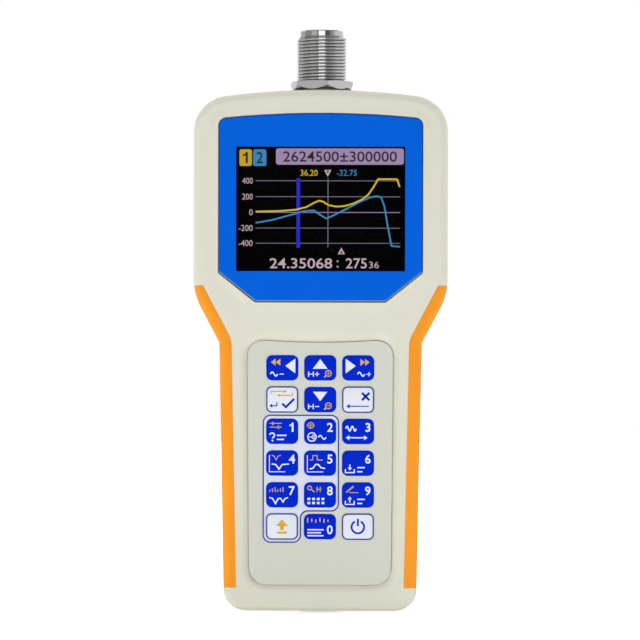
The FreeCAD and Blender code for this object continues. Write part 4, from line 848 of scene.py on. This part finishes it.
def build_keys(sizes):
    """A plate with a stem for each key, and the blue line round the white ones."""
    low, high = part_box("key_0")
    plate_thick, stem_wide, stem_tall = 0.4, 4.4, 3.6
    front, back, stem_end = low.y / MM, low.y / MM + plate_thick, high.y / MM
    patterns = {}
    for name in KEYS:
        node = "key_" + name
        spot = middle(node) / MM
        kind = "white" if name in WHITE_KEYS else "blue"
        if kind not in patterns:
            across, up = key_half(name, sizes)
            plate = rounded_block((spot.x - across, front, spot.z - up),
                                  (spot.x + across, back, spot.z + up),
                                  sizes.key_corner / MM, 0.1, FRONT)
            stem = rounded_block((spot.x - stem_wide / 2, back - 0.1, spot.z - stem_tall / 2),
                                 (spot.x + stem_wide / 2, stem_end, spot.z + stem_tall / 2),
                                 0.5, 0.2, -FRONT)
            patterns[kind] = (join([plate, stem]), spot)
        pattern, place = patterns[kind]
        piece = settle(twin_of(pattern), Matrix.Translation((spot - place) * MM))
        ink = "white_key_ink" if kind == "white" else "blue_ink"
        finish_piece(piece, node + "_plate", ink, kind + "_key", node, body=node)
        if kind == "white":
            inset, thick = 0.1, sizes.ink / MM
            outline = sheet([key_loop(name, sizes, -inset),
                             key_loop(name, sizes, -inset - sizes.line / MM)], front - thick, thick)
            finish_piece(outline, node + "_line", "line_ink", "blue_key", body=node)
    for pattern, _ in patterns.values():
        bpy.data.objects.remove(pattern)


# The printed marks are outlines in millimetres, from the middle of their key.

def patch(*points):
    """A filled shape."""
    return [points]


def stroke(width, *points):
    """A line along some points."""
    return [ribbon(points, width)]


def level(width, up, start, end):
    """A level line; up is its height."""
    return stroke(width, (start, up), (end, up))


def upright(width, across, start, end):
    """An upright line; across is its place."""
    return stroke(width, (across, start), (across, end))


def ring(width, across, up, radius):
    """A circle's line, from its middle."""
    return [arc(across, up, radius + width / 2)[:-1], arc(across, up, radius - width / 2)[:-1]]


def arrow(across, up, long, tall):
    """An arrowhead, from its tip: it points to the left, or with a negative length to the right."""
    return patch((across, up), (across + long, up + tall / 2), (across + long, up - tall / 2))


def sign(across, up, plus, width=0.32, reach=0.65):
    """A small plus or minus, from its middle."""
    lines = [level(width, up, across - reach, across + reach)]
    if plus:
        lines.append(upright(width, across, up - reach, up + reach))
    return lines


def lens_sign(across, up, plus):
    """A magnifier with a plus or minus in it."""
    return [ring(0.32, across, up, 0.92),
            stroke(0.5, (across - 0.75, up - 0.75), (across - 1.3, up - 1.2)),
            *sign(across, up, plus, 0.22, 0.5)]


def span_sign(across, up, plus):
    """A measured span, wider or narrower."""
    return [upright(0.36, across, up - 0.8, up + 0.8),
            upright(0.36, across + 1.5, up - 0.8, up + 0.8),
            level(0.3, up, across, across + 1.5), *sign(across + 2.7, up, plus)]


AXES = stroke(0.26, (-4.05, 2.5), (-4.05, -2.8), (1.0, -2.8))
# A tray with two lines of a list beside it.
TRAY = [stroke(0.36, (-4.0, -1.9), (-4.0, -3.0), (-1.2, -3.0), (-1.2, -1.9)),
        level(0.42, -1.4, -0.2, 2.2), level(0.42, -2.7, -0.2, 1.4)]

# What is printed on each key, by its ink; the digits are added by build_key_marks.
MARKS = {
    "left": {
        "gold": [arrow(-3.6, 1.8, 1.45, 2.2), arrow(-2.1, 1.8, 1.45, 2.2)],
        "white": [arrow(0.95, 0.6, 3.2, 4.7), stroke(0.4, *wave(-3.8, -1.5, -2.0, 1.3, 1)),
                  *sign(-0.2, -2.0, False)]},
    "up": {
        "gold": lens_sign(2.6, -1.75, True),
        "white": [patch((-2.35, -0.3), (2.35, -0.3), (0, 2.8)), *span_sign(-3.7, -2.0, True)]},
    "right": {
        "gold": [arrow(2.15, 1.8, -1.45, 2.2), arrow(3.65, 1.8, -1.45, 2.2)],
        "white": [arrow(-0.8, 0.6, -3.2, 4.7), stroke(0.4, *wave(-0.2, 2.1, -2.0, 1.3, 1)),
                  *sign(3.4, -2.0, True)]},
    "ok": {
        "gold": [stroke(0.36, (-3.4, 1.7), (-3.4, 2.6), (0.6, 2.6)), arrow(1.5, 2.6, -0.9, 1.1),
                 stroke(0.36, (3.2, 2.3), (3.2, 1.3), (-0.8, 1.3)), arrow(-1.7, 1.3, 0.9, 1.1)],
        "blue": [stroke(0.7, (0.0, -1.3), (1.2, -2.4), (3.8, 0.2)),
                 stroke(0.34, (-1.7, -0.8), (-1.7, -2.0), (-3.3, -2.0)),
                 arrow(-4.1, -2.0, 0.9, 1.3)]},
    "down": {
        "gold": lens_sign(2.6, -1.95, False),
        "white": [patch((2.3, 2.5), (-2.3, 2.5), (0, -0.5)), *span_sign(-3.7, -2.2, False)]},
    "cancel": {
        "blue": [stroke(0.72, (1.2, 2.2), (3.6, -0.2)), stroke(0.72, (1.2, -0.2), (3.6, 2.2)),
                 level(0.34, -2.1, 3.4, -2.8), arrow(-3.8, -2.1, 1.1, 1.5)]},
    "1": {
        "gold": [level(0.23, 2.5, -4.0, -0.2), level(0.23, 1.3, -4.0, -0.2),
                 upright(0.43, -3.0, 2.0, 3.0), upright(0.43, -1.2, 0.8, 1.8)],
        "white": [stroke(0.42, *arc(-3.2, -1.3, 0.75, 170, -60, 12)),
                  stroke(0.42, (-2.9, -1.8), (-3.1, -2.3)), level(0.5, -3.0, -3.35, -2.85),
                  level(0.42, -1.3, -1.7, 1.4), level(0.42, -2.6, -1.7, 0.6)]},
    "2": {
        "gold": [ring(0.24, -3.0, 1.9, 0.95), level(0.22, 1.9, -4.3, -1.7),
                 upright(0.22, -3.0, 0.8, 3.0)],
        "white": [ring(0.36, -2.6, -1.8, 1.35), level(0.28, -1.8, -3.9, -1.3),
                  ring(0.28, -2.0, -1.8, 0.6), stroke(0.4, *wave(-0.6, 1.9, -1.9, 1.2, 1))]},
    "3": {
        "white": [stroke(0.42, *wave(-3.9, -0.6, 0.9, 1.5, 2)), level(0.4, -2.0, -2.9, 2.0),
                  arrow(-3.9, -2.0, 1.1, 1.6), arrow(3.0, -2.0, -1.1, 1.6)]},
    "4": {
        "gold": [stroke(0.23, (-3.3, 2.5), (-2.5, 2.2), (-1.9, 0.9), (-1.3, 2.2), (-0.4, 2.5))],
        "white": [AXES, stroke(0.42, (-3.3, -0.3), (-2.0, -0.5), (-1.0, -2.0), (0.0, -0.5),
                               (2.2, -0.3))]},
    "5": {
        "gold": [stroke(0.23, (-3.3, 1.0), (-2.3, 1.0), (-2.3, 2.4), (-0.9, 2.4), (-0.9, 1.0),
                        (0.9, 1.0))],
        "white": [AXES, stroke(0.42, (-3.3, -1.9), (-2.2, -1.6), (-1.4, -0.4), (-0.6, -0.4),
                               (0.2, -1.4), (1.6, -1.7))]},
    "6": {
        "white": [upright(0.42, -2.6, -0.4, -1.6), patch((-3.3, -1.4), (-2.6, -2.3), (-1.9, -1.4)),
                  *TRAY]},
    "7": {
        "gold": [upright(0.26, -3.9 + 0.85 * i, 0.9, 1.7 + 0.35 * (i % 3)) for i in range(6)],
        "white": [stroke(0.42, (-4.0, -0.9), (-3.0, -1.2), (-2.1, -2.8), (-1.2, -1.2), (-0.4, -1.2),
                         (0.3, -2.3), (1.0, -1.2), (1.9, -0.9))]},
    "8": {
        "gold": [ring(0.27, -3.3, 2.2, 0.62), stroke(0.36, (-2.9, 1.8), (-1.7, 0.9)),
                 upright(0.26, -0.9, 0.9, 2.6), upright(0.26, 0.1, 0.9, 2.6),
                 level(0.26, 1.8, -1.3, 0.5)],
        "white": [level(0.75, up, -4.0 + 1.5 * i, -3.1 + 1.5 * i)
                  for i in range(4) for up in (-1.3, -2.6)]},
    "9": {
        "gold": [stroke(0.45, (-1.4, 2.8), (-3.2, 1.2)),
                 patch((-3.2, 1.7), (-3.9, 0.7), (-2.8, 1.0)), level(0.22, 0.75, -2.6, 0.2)],
        "white": [upright(0.42, -2.6, -2.4, -1.2), patch((-1.9, -1.4), (-2.6, -0.5), (-3.3, -1.4)),
                  *TRAY]},
    "0": {
        "gold": [upright(0.36, -3.9 + 1.3 * i, 1.2 + 0.3 * (i % 2), 2.8 - 0.3 * (i % 3))
                 for i in range(6)],
        "white": [level(0.42, -1.0, -4.0, 1.2), level(0.42, -1.95, -4.0, 0.4),
                  level(0.42, -2.9, -4.0, 1.2)]},
    "function": {
        "gold": [patch((-2.0, 0.1), (2.0, 0.1), (0.0, 2.3)), upright(1.15, 0, 0.2, -1.2),
                 level(0.7, -2.0, -1.5, 1.5)]},
    "power": {
        "blue": [stroke(0.62, *arc(0, -0.1, 2.0, 118, 422, 28)), upright(0.64, 0, 2.5, 0.2)]},
}

# The digit one with its flag, from the digit's middle.
ONE = [(0.42, 1.45), (0.42, -1.45), (-0.16, -1.45), (-0.16, 0.6), (-0.82, 0.25), (-0.82, 0.78),
       (-0.35, 1.0), (0.02, 1.45)]


def printed(mark, spot, front, ink):
    """One mark as a sheet on the front of a key."""
    return sheet([[(spot.x + across, spot.z + up) for across, up in loop] for loop in mark],
                 front - ink, ink)


def build_key_marks(sizes):
    """Prints digits and pictograms on the keys; each rides on its own key."""
    ink = sizes.ink / MM
    # Where a key's digit stands, from the key's middle, and how tall it is.
    digit_across, digit_up, nought_up, digit_tall = 3.15, 1.3, -1.0, 2.9
    for name, inks in MARKS.items():
        node = "key_" + name
        spot = middle(node) / MM
        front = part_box(node)[0].y / MM
        for tone, marks in inks.items():
            pieces = [printed(mark, spot, front, ink) for mark in marks]
            if tone == "white" and name.isdigit():
                rise = nought_up if name == "0" else digit_up
                if name == "1":
                    place = spot + Vector((digit_across + 0.05, 0, rise))
                    pieces.append(printed(patch(*ONE), place, front, ink))
                else:
                    pieces.append(lettering(name, spot.x + digit_across, spot.z + rise, digit_tall,
                                            front - ink, ink, weight=0.02))
            slot = "blue_key" if tone == "blue" else "white_key"
            finish_piece(join(pieces), f"{node}_{tone}_print", tone + "_ink", slot, body=node)


# ---- N socket

def thread_finish(root, crest):
    """Nickel plate on the thread, with painted shade that makes it dull and dark down in the
    grooves.
    """
    material = surface("nickel_thread_with_painted_groove_shade", linear("#DADADA"), 0.15, (2.5, 0.03),
                       (0.3, 0.0003), 0.03, stretch=(0.1, 0.1, 1), Metallic=1.0)
    tree = material.node_tree
    base = tree.nodes["Principled BSDF"].inputs["Base Color"]
    plate = base.links[0].from_socket
    coords = add_node(tree, "ShaderNodeTexCoord", {}, {}).outputs["Object"]
    flat = add_node(tree, "ShaderNodeVectorMath", {"operation": "MULTIPLY"}, {
        0: coords, 1: (1, 1, 0)})
    reach = add_node(tree, "ShaderNodeVectorMath", {"operation": "LENGTH"}, {0: flat.outputs[0]})
    out_of_groove_shade = add_node(tree, "ShaderNodeMapRange", {}, {
        0: reach.outputs["Value"], 1: root * MM, 2: (crest - 0.12) * MM})
    # Painted shade: a dark grey at the thread's root that fades into the plate's colour at the
    # crest.
    both = add_node(tree, "ShaderNodeMix", {"data_type": "RGBA"}, {
        0: out_of_groove_shade.outputs[0], 6: (*linear("#8C8D8E"), 1), 7: plate})
    tree.links.new(both.outputs[2], base)
    return material


def build_socket(sizes):
    """The threaded socket, its nut, washer, insulator and contact."""
    low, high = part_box("socket_body")
    radius, depth, pitch = 7.9375, sizes.thread_depth / MM, sizes.thread_pitch / MM
    nut_low, nut_high = (corner.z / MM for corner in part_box("socket_nut"))
    top, under, root, bore, nose = high.z / MM, low.z / MM, radius - depth, 4.2, 7.0
    flange, flange_top, thread_top = 9.5, under + 2.5, top - 2.1
    core = turned([(bore, under), (flange, under), (flange, flange_top), (root, flange_top),
                   (root, thread_top - 0.15), (nose - 0.15, thread_top + 0.25),
                   (nose, thread_top + 0.4), (nose, top - 0.35), (nose - 0.35, top),
                   (bore + 0.45, top), (bore, top - 0.45)], 96, angle=20)
    turns = int((thread_top - nut_high) / pitch)
    start = thread_top - (turns + 1) * pitch
    # One ridge of the thread, from its root, 0.6 mm deep and one pitch high.
    profile = [(-0.1, 0.02), (0.3, 0.1), (0.48, 0.2), (0.58, 0.34), (0.6, 0.43), (0.6, 0.57),
               (0.58, 0.66), (0.48, 0.8), (0.3, 0.9), (-0.1, 0.98)]
    ridge = loop_of_points([(root + depth * out / 0.6, start + turn * pitch)
                            for out, turn in profile])
    use_modifier(ridge, "SCREW", axis="Z", angle=2 * math.pi, screw_offset=pitch * MM,
                 iterations=turns, steps=64, render_steps=64, use_smooth_shade=False)
    edit(ridge)
    bpy.ops.mesh.select_all(action="SELECT")
    bpy.ops.mesh.remove_doubles(threshold=MERGE)
    bpy.ops.mesh.select_all(action="DESELECT")
    bpy.ops.mesh.select_non_manifold()
    bpy.ops.mesh.edge_face_add()
    tidy_mesh(ridge, 40)
    socket = join([core, ridge])
    finish_piece(socket, "threaded_socket", "nickel", "nickel_brass", "socket_body")
    FINISHES["thread"] = thread_finish(root, radius)
    add_finish(socket, "thread",
               lambda face: nut_high * MM < face.center.z < (thread_top - 0.1) * MM)

    # The nut stops short of its box, where the thread's last turn comes out of it.
    nut_high -= 0.4
    flats, corner, upper, lower, turned_by = 9.15, 10.565, 0.3, 1.55, 11.5
    start_clean()
    bpy.ops.mesh.primitive_cylinder_add(
        vertices=6, radius=corner * MM, depth=(nut_high - nut_low) * MM,
        location=(0, 0, (nut_low + nut_high) / 2 * MM), rotation=(0, 0, math.radians(turned_by)))
    nut = settle(bpy.context.object)
    cones = turned([(0, nut_low), (flats - 0.1, nut_low), (corner + 0.1, nut_low + lower),
                    (corner + 0.1, nut_high - upper), (flats - 0.1, nut_high), (0, nut_high)], 96)
    combine(nut, cones, "INTERSECT")
    hole = turned([(0, nut_low - 1), (root, nut_low - 1), (root, nut_high - 0.4),
                   (root + 0.5, nut_high + 0.1), (root + 0.5, nut_high + 1),
                   (0, nut_high + 1)], 96)
    combine(nut, hole, "DIFFERENCE")
    tidy_mesh(nut, 20)
    finish_piece(nut, "hexagon_nut", "milled_nickel", "nickel_brass", "socket_nut")
    dress(lock_washer="oxidised", socket_insulator="fluoroplastic", socket_contact="gold",
          contact_strip="copper")


# ---- screws, batteries, inside

def build_screws():
    """Round housing screws with a cross recess, modelled once and copied."""
    low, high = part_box("housing_screws")
    head, shank, back, tip = 2.5, 1.3, high.y / MM, low.y / MM
    # Turned upright first, with the head's top at nought, and then laid along the depth.
    screw = turned([(0, 0), (head - 0.8, 0), (head - 0.25, -0.3), (head, -0.9), (head, -1.9),
                    (shank, -1.9), (shank, tip - back), (0, tip - back)][::-1], 40)
    for turn in (0, 90):
        start_clean()
        bpy.ops.mesh.primitive_cube_add(
            size=1, location=(0, 0, 0), rotation=(0, 0, math.radians(turn)),
            scale=(2.6 * MM, 0.55 * MM, 1.7 * MM))
        combine(screw, settle(bpy.context.object), "DIFFERENCE")
    lay = Matrix.Rotation(math.radians(-90), 4, "X")
    settle(screw, Matrix.Translation((0, back * MM, 0)) @ lay)
    tidy_mesh(screw)
    # The upper screws sit at the box's corners, the lower ones nearer to the middle.
    head_top, low_across = head * MM, 23.0 * MM
    screws = []
    for across, up, turn in (
            (high.x - head_top, high.z - head_top, 12), (head_top - high.x, high.z - head_top, 47),
            (low_across, low.z + head_top, 70), (-low_across, low.z + head_top, 31)):
        twin = settle(twin_of(screw), Matrix.Translation((across, 0, up))
                      @ Matrix.Rotation(math.radians(turn), 4, "Y"))
        screws.append(twin)
    bpy.data.objects.remove(screw)
    finish_piece(join(screws), "cross_head_screws", "zinc", "zinc_steel", "housing_screws")
    dress(board_screws="zinc")


def sleeve_finish(name, bottom, top, nub_up):
    """Printed sleeve of a cell: graphite, then a pale line and a copper band at the nub's end."""
    graphite = linear("#2A2C30")
    material = surface(name, graphite, 0.28, (5, 0.1), (0.5, 0.002))
    tree = material.node_tree
    coords = add_node(tree, "ShaderNodeTexCoord", {}, {}).outputs["Object"]
    height = add_node(tree, "ShaderNodeSeparateXYZ", {}, {0: coords})
    share = add_node(tree, "ShaderNodeMapRange", {}, {
        0: height.outputs["Z"], 1: bottom * MM, 2: top * MM,
        3: 0.0 if nub_up else 1.0, 4: 1.0 if nub_up else 0.0})
    bands = add_node(tree, "ShaderNodeValToRGB", {}, {0: share.outputs[0]})
    ramp = bands.color_ramp
    ramp.interpolation = "CONSTANT"
    ramp.elements.remove(ramp.elements[1])
    ramp.elements[0].color = (*graphite, 1)
    for start, tone in ((0.66, "#D8D6CE"), (0.68, "#B9733F")):
        ramp.elements.new(start).color = (*linear(tone), 1)
    tree.links.new(bands.outputs[0], tree.nodes["Principled BSDF"].inputs["Base Color"])
    return material


def build_cells():
    """Two AA cells: a steel can with its nub, and a printed sleeve round it."""
    for side, nub_up in (("left", True), ("right", False)):
        node = side + "_battery"
        low, high = (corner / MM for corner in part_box(node))
        across, depth, radius = (low.x + high.x) / 2, (low.y + high.y) / 2, (high.x - low.x) / 2
        bottom, top, body_top = low.z, high.z, high.z - 1.3
        # The half sections are drawn with the nub up, and turned over for the other cell.
        can = [(0, bottom), (5.4, bottom), (6.0, bottom + 0.25), (radius - 0.12, bottom + 0.3),
               (radius - 0.12, body_top - 0.6), (radius - 0.7, body_top), (3.6, body_top),
               (3.3, body_top - 0.3), (2.75, body_top - 0.3), (2.75, top - 0.35), (2.4, top),
               (0, top)]
        sleeve = [(radius - 0.5, bottom + 0.1), (radius - 0.1, bottom + 0.1),
                  (radius, bottom + 0.4), (radius, body_top - 0.75),
                  (radius - 0.7, body_top + 0.02),
                  (radius - 1.6, body_top + 0.06), (radius - 1.6, body_top - 0.1),
                  (radius - 0.8, body_top - 0.15), (radius - 0.2, body_top - 0.8),
                  (radius - 0.2, bottom + 0.35), (radius - 0.5, bottom + 0.25)]
        if not nub_up:
            can, sleeve = ([(out, bottom + top - up) for out, up in half] for half in (can, sleeve))
        finish_piece(turned(can, 48, across, depth), side + "_cell_can", "tinned",
                     "cell_sleeve", node)
        finish = side + "_printed_cell_sleeve"
        FINISHES[finish] = sleeve_finish(finish, bottom, top, nub_up)
        finish_piece(turned(sleeve, 48, across, depth), side + "_cell_sleeve", finish,
                     "cell_sleeve")
    dress(battery_plates="tinned", battery_springs="spring")


def dress_inside():
    """Finishes for what keeps its CAD shape inside the housing and in the USB socket."""
    dress(main_board="board", rf_shield="tinned", buzzer="black_plastic", snap_domes="spring",
          usb_shell="tinned", usb_insert="black_plastic")


def build_usb_contacts():
    """Gold contacts on both faces of the tongue in the USB socket."""
    low, high = (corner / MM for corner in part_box("usb_insert"))
    # The tongue is 3.1 mm thick and starts 1 mm behind the mouth.
    centre, tip, reach = (low.y + high.y) / 2, low.z + 1.0, 3.1 / 2
    half_wide, thick, start, end = 0.5, 0.06, tip + 0.6, tip + 7.4
    strips = []
    for across in (-1.25, 1.25):
        for side in (-1, 1):
            near = centre + side * reach
            strips.append(rounded_block((across - half_wide, near - thick, start),
                                        (across + half_wide, near + thick, end),
                                        0, 0.03, FRONT * -side))
    finish_piece(join(strips), "usb_contacts", "gold", "gold_contact")


# ---- stage

# The camera, in metres and degrees: its height, distance and shift to the side, the focal length
# in millimetres, how far it is turned round the object, and how far it is tilted sideways.
VIEW_UP, VIEW_DISTANCE, VIEW_SIDE = 0.0935, 1.225, -0.00045
LENS_MM, VIEW_TURN, ROLL = 213.5, 1.25, -0.13
WHITE = (1, 1, 1, 1)


def background_rays(tree):
    """One for rays that show the background: the camera's, and those off metal or through glass."""
    path = add_node(tree, "ShaderNodeLightPath", {}, {})
    seen = add_node(tree, "ShaderNodeMath", {"operation": "ADD"}, {
        0: path.outputs["Is Camera Ray"], 1: path.outputs["Is Glossy Ray"]})
    return add_node(tree, "ShaderNodeMath", {"operation": "ADD", "use_clamp": True}, {
        0: seen.outputs[0], 1: path.outputs["Is Transmission Ray"]}).outputs[0]


def floor_material(name, grey, glow):
    """Plain floor; glow is how bright it is seen near the object, and far off it is white."""
    material, tree, shader = new_material(
        name, Base_Color=(grey, grey, grey, 1), Roughness=0.9, Specular_IOR_Level=0.0,
        Emission_Color=WHITE)
    # How much of the glow lights the object too, and where the floor starts and ends to whiten.
    faint, near, far = 0.2, 0.3, 1.1
    coords = add_node(tree, "ShaderNodeTexCoord", {}, {}).outputs["Object"]
    reach = add_node(tree, "ShaderNodeVectorMath", {"operation": "LENGTH"}, {0: coords})
    white = add_node(tree, "ShaderNodeMapRange", {}, {
        0: reach.outputs["Value"], 1: near, 2: far, 3: glow - faint, 4: 1 - faint})
    lit = add_node(tree, "ShaderNodeMath", {"operation": "MULTIPLY_ADD"}, {
        0: background_rays(tree), 1: white.outputs[0], 2: faint})
    tree.links.new(lit.outputs[0], shader.inputs["Emission Strength"])
    return material


def add_felt(name, size, place, aim, bright):
    """A card that only polished metal sees, as bright from any side, whatever the lamps do."""
    felt = new_material(
        name + "_felt", Base_Color=(0, 0, 0, 1), Roughness=0.9, Specular_IOR_Level=0.0,
        Emission_Color=WHITE, Emission_Strength=bright)[0]
    card = add_card(name, size, place, aim, felt)
    card.visible_camera = False
    card.visible_diffuse = False
    card.visible_shadow = False
    card.visible_transmission = False


def add_round_felt(name, bright, start, end, distance=1.3, tall=1.1, up=0.35):
    """A tall felt card between two angles from the front, rightward positive."""
    ends = [Vector((math.sin(math.radians(a)), -math.cos(math.radians(a)), 0)) * distance
            for a in (start, end)]
    place = (ends[0] + ends[1]) / 2 + UP * up
    add_felt(name, ((ends[1] - ends[0]).length, tall), place, UP * up, bright)


def add_card(name, size, place, aim, material):
    """A flat card of the stage that faces a point."""
    start_clean()
    bpy.ops.mesh.primitive_plane_add(size=1)
    card = bpy.context.object
    card.name = name
    place, aim = Vector(place), Vector(aim)
    facing = (aim - place).to_track_quat("Z", "Y").to_matrix().to_4x4()
    settle(card, Matrix.Translation(place) @ facing @ Matrix.Diagonal((*size, 1, 1)))
    card.data.materials.append(material)
    return card


def add_softbox(name, size, place, power):
    """A soft lamp that faces the object and isn't seen itself."""
    lamp = bpy.data.lights.new(name, "AREA")
    lamp.shape = "RECTANGLE"
    lamp.size, lamp.size_y = size
    lamp.energy = power
    holder = add_object(name, lamp)
    place = Vector(place)
    holder.location = place
    holder.rotation_euler = (place - UP * VIEW_UP).to_track_quat("Z", "Y").to_euler()
    holder.visible_glossy = False
    holder.visible_camera = False


def build_stage(scene):
    """The floor, the light, what polished metal shows, and the camera."""
    scene.view_settings.view_transform = "Standard"
    world = bpy.data.worlds.new("studio")
    scene.world = world
    world.use_nodes = True
    tree = world.node_tree
    tree.nodes.clear()
    soft = add_node(tree, "ShaderNodeBackground", {}, {"Color": WHITE, "Strength": 0.12})
    white = add_node(tree, "ShaderNodeBackground", {}, {"Color": WHITE, "Strength": 1.0})
    both = add_node(tree, "ShaderNodeMixShader", {}, {
        0: background_rays(tree), 1: soft.outputs[0], 2: white.outputs[0]})
    add_node(tree, "ShaderNodeOutputWorld", {}, {"Surface": both.outputs[0]})

    floor = add_card("studio_floor", (3.4, 3.4), (0, 0, -0.0001), UP,
                     floor_material("pale_floor", 0.86, 0.66))
    # The front lamp stands lower than the floor and shines through it.
    floor.visible_shadow = False
    # Cards that only polished metal sees, as a studio has them round a shiny part.
    for name, bright, start, end in (
            ("rear_left_card", 0.75, -176, -140), ("left_card", 0.5, -140, -100),
            ("left_grey_card", 0.3, -100, -56), ("left_pale_card", 0.55, -56, -23.5),
            ("left_dark_card", 0.02, -23.5, -16.5), ("middle_white_card", 1.8, -16.5, 16.5),
            ("right_dark_card", 0.1, 16.5, 42), ("right_deep_card", 0.28, 42, 60),
            ("right_grey_card", 0.5, 60, 75), ("right_pale_card", 0.75, 75, 140)):
        add_round_felt(name, bright, start, end)
    add_felt("upper_grey_card", (3.4, 3.0), (0, -0.4, 1.3), (0, -0.4, 0), 0.3)
    add_felt("lower_grey_card", (3.4, 3.4), (0, 0, -0.00005), UP, 0.5)
    # Size and place in metres, and power in watts.
    for name, size, place, power in (
            ("front_softbox", (0.9, 0.2), (-0.25, -1.45, -0.12), 9.7),
            ("left_softbox", (1.0, 0.8), (-1.9, -0.7, 0.3), 5.2),
            ("right_softbox", (1.0, 0.8), (1.9, -0.7, 0.3), 4.4),
            ("rear_softbox", (1.2, 1.2), (0.3, 1.7, 0.9), 14.5),
            ("left_rear_softbox", (0.8, 0.8), (-1.7, 0.35, 0.4), 7),
            ("right_rear_softbox", (0.8, 0.8), (1.7, 0.35, 0.4), 7),
            ("top_softbox", (1.0, 1.0), (0.1, 0.35, 1.9), 23)):
        add_softbox(name, size, place, power)

    camera = bpy.data.cameras.new("camera")
    camera.lens = LENS_MM
    camera.clip_start, camera.clip_end = 0.05, 20.0
    holder = add_object("camera", camera)
    turn = Matrix.Rotation(math.radians(VIEW_TURN), 3, "Z")
    holder.location = turn @ Vector((VIEW_SIDE, -VIEW_DISTANCE, VIEW_UP))
    holder.rotation_euler = (math.radians(90), math.radians(ROLL), math.radians(VIEW_TURN))
    scene.camera = holder


# ---- operators

class ANALYZER_OT_stage(Operator):
    """Sets up the floor, the soft lamps and the camera"""
    bl_idname = "analyzer.stage"
    bl_label = "Stage"

    def execute(self, context):
        build_stage(context.scene)
        return {"FINISHED"}


class ANALYZER_OT_finishes(Operator):
    """Makes the finishes of all pieces from the colours"""
    bl_idname = "analyzer.finishes"
    bl_label = "Finishes"

    def execute(self, context):
        make_finishes(context.scene.analyzer_colours)
        return {"FINISHED"}


class ANALYZER_OT_housing(Operator):
    """Rounds the moulded edges of both shells and the battery door"""
    bl_idname = "analyzer.housing"
    bl_label = "Housing"

    def execute(self, context):
        build_housing(context.scene.analyzer_sizes)
        return {"FINISHED"}


class ANALYZER_OT_grips(Operator):
    """Makes the soft side grips"""
    bl_idname = "analyzer.grips"
    bl_label = "Grips"

    def execute(self, context):
        build_grips(context.scene.analyzer_sizes)
        return {"FINISHED"}


class ANALYZER_OT_lens(Operator):
    """Makes the printed display lens and its clear window"""
    bl_idname = "analyzer.lens"
    bl_label = "Display lens"

    def execute(self, context):
        build_lens()
        return {"FINISHED"}


class ANALYZER_OT_screen(Operator):
    """Draws the lit screen"""
    bl_idname = "analyzer.screen"
    bl_label = "Screen"

    def execute(self, context):
        build_screen()
        return {"FINISHED"}


class ANALYZER_OT_film(Operator):
    """Makes the printed keypad film"""
    bl_idname = "analyzer.film"
    bl_label = "Keypad film"

    def execute(self, context):
        build_film(context.scene.analyzer_sizes)
        return {"FINISHED"}


class ANALYZER_OT_keys(Operator):
    """Makes the eighteen key plates"""
    bl_idname = "analyzer.keys"
    bl_label = "Keys"

    def execute(self, context):
        build_keys(context.scene.analyzer_sizes)
        return {"FINISHED"}


class ANALYZER_OT_key_marks(Operator):
    """Prints digits and pictograms on the keys"""
    bl_idname = "analyzer.key_marks"
    bl_label = "Key marks"

    def execute(self, context):
        build_key_marks(context.scene.analyzer_sizes)
        return {"FINISHED"}


class ANALYZER_OT_socket(Operator):
    """Cuts the thread of the N socket and chamfers its nut"""
    bl_idname = "analyzer.socket"
    bl_label = "N socket"

    def execute(self, context):
        build_socket(context.scene.analyzer_sizes)
        return {"FINISHED"}


class ANALYZER_OT_screws(Operator):
    """Makes the housing's cross-head screws"""
    bl_idname = "analyzer.screws"
    bl_label = "Screws"

    def execute(self, context):
        build_screws()
        return {"FINISHED"}


class ANALYZER_OT_cells(Operator):
    """Makes the two battery cells"""
    bl_idname = "analyzer.cells"
    bl_label = "Cells"

    def execute(self, context):
        build_cells()
        return {"FINISHED"}


class ANALYZER_OT_inside(Operator):
    """Gives the board, the shield and the USB socket their finishes"""
    bl_idname = "analyzer.inside"
    bl_label = "Board and USB socket"

    def execute(self, context):
        dress_inside()
        build_usb_contacts()
        return {"FINISHED"}


STEPS = [ANALYZER_OT_stage, ANALYZER_OT_finishes, ANALYZER_OT_housing, ANALYZER_OT_grips,
         ANALYZER_OT_lens, ANALYZER_OT_screen, ANALYZER_OT_film, ANALYZER_OT_keys,
         ANALYZER_OT_key_marks, ANALYZER_OT_socket, ANALYZER_OT_screws, ANALYZER_OT_cells,
         ANALYZER_OT_inside]


class ANALYZER_PT_panel(Panel):
    """Lists the steps that build the analyzer"""
    bl_idname = "ANALYZER_PT_panel"
    bl_label = "Antenna analyzer"
    bl_space_type = "VIEW_3D"
    bl_region_type = "UI"
    bl_category = "Analyzer"

    def draw(self, context):
        layout = self.layout
        for group in (context.scene.analyzer_colours, context.scene.analyzer_sizes):
            column = layout.column()
            for name in group.__annotations__:
                column.prop(group, name)
        for step in STEPS:
            layout.operator(step.bl_idname)


CLASSES = [AnalyzerColours, AnalyzerSizes, *STEPS, ANALYZER_PT_panel]


def register():
    for item in CLASSES:
        bpy.utils.register_class(item)
    bpy.types.Scene.analyzer_colours = PointerProperty(type=AnalyzerColours)
    bpy.types.Scene.analyzer_sizes = PointerProperty(type=AnalyzerSizes)


def unregister():
    del bpy.types.Scene.analyzer_sizes
    del bpy.types.Scene.analyzer_colours
    for item in reversed(CLASSES):
        bpy.utils.unregister_class(item)


def main():
    """Runs all steps in order."""
    register()
    for step in STEPS:
        getattr(bpy.ops.analyzer, step.bl_idname.split(".")[1])()


if __name__ == "__main__":
    main()
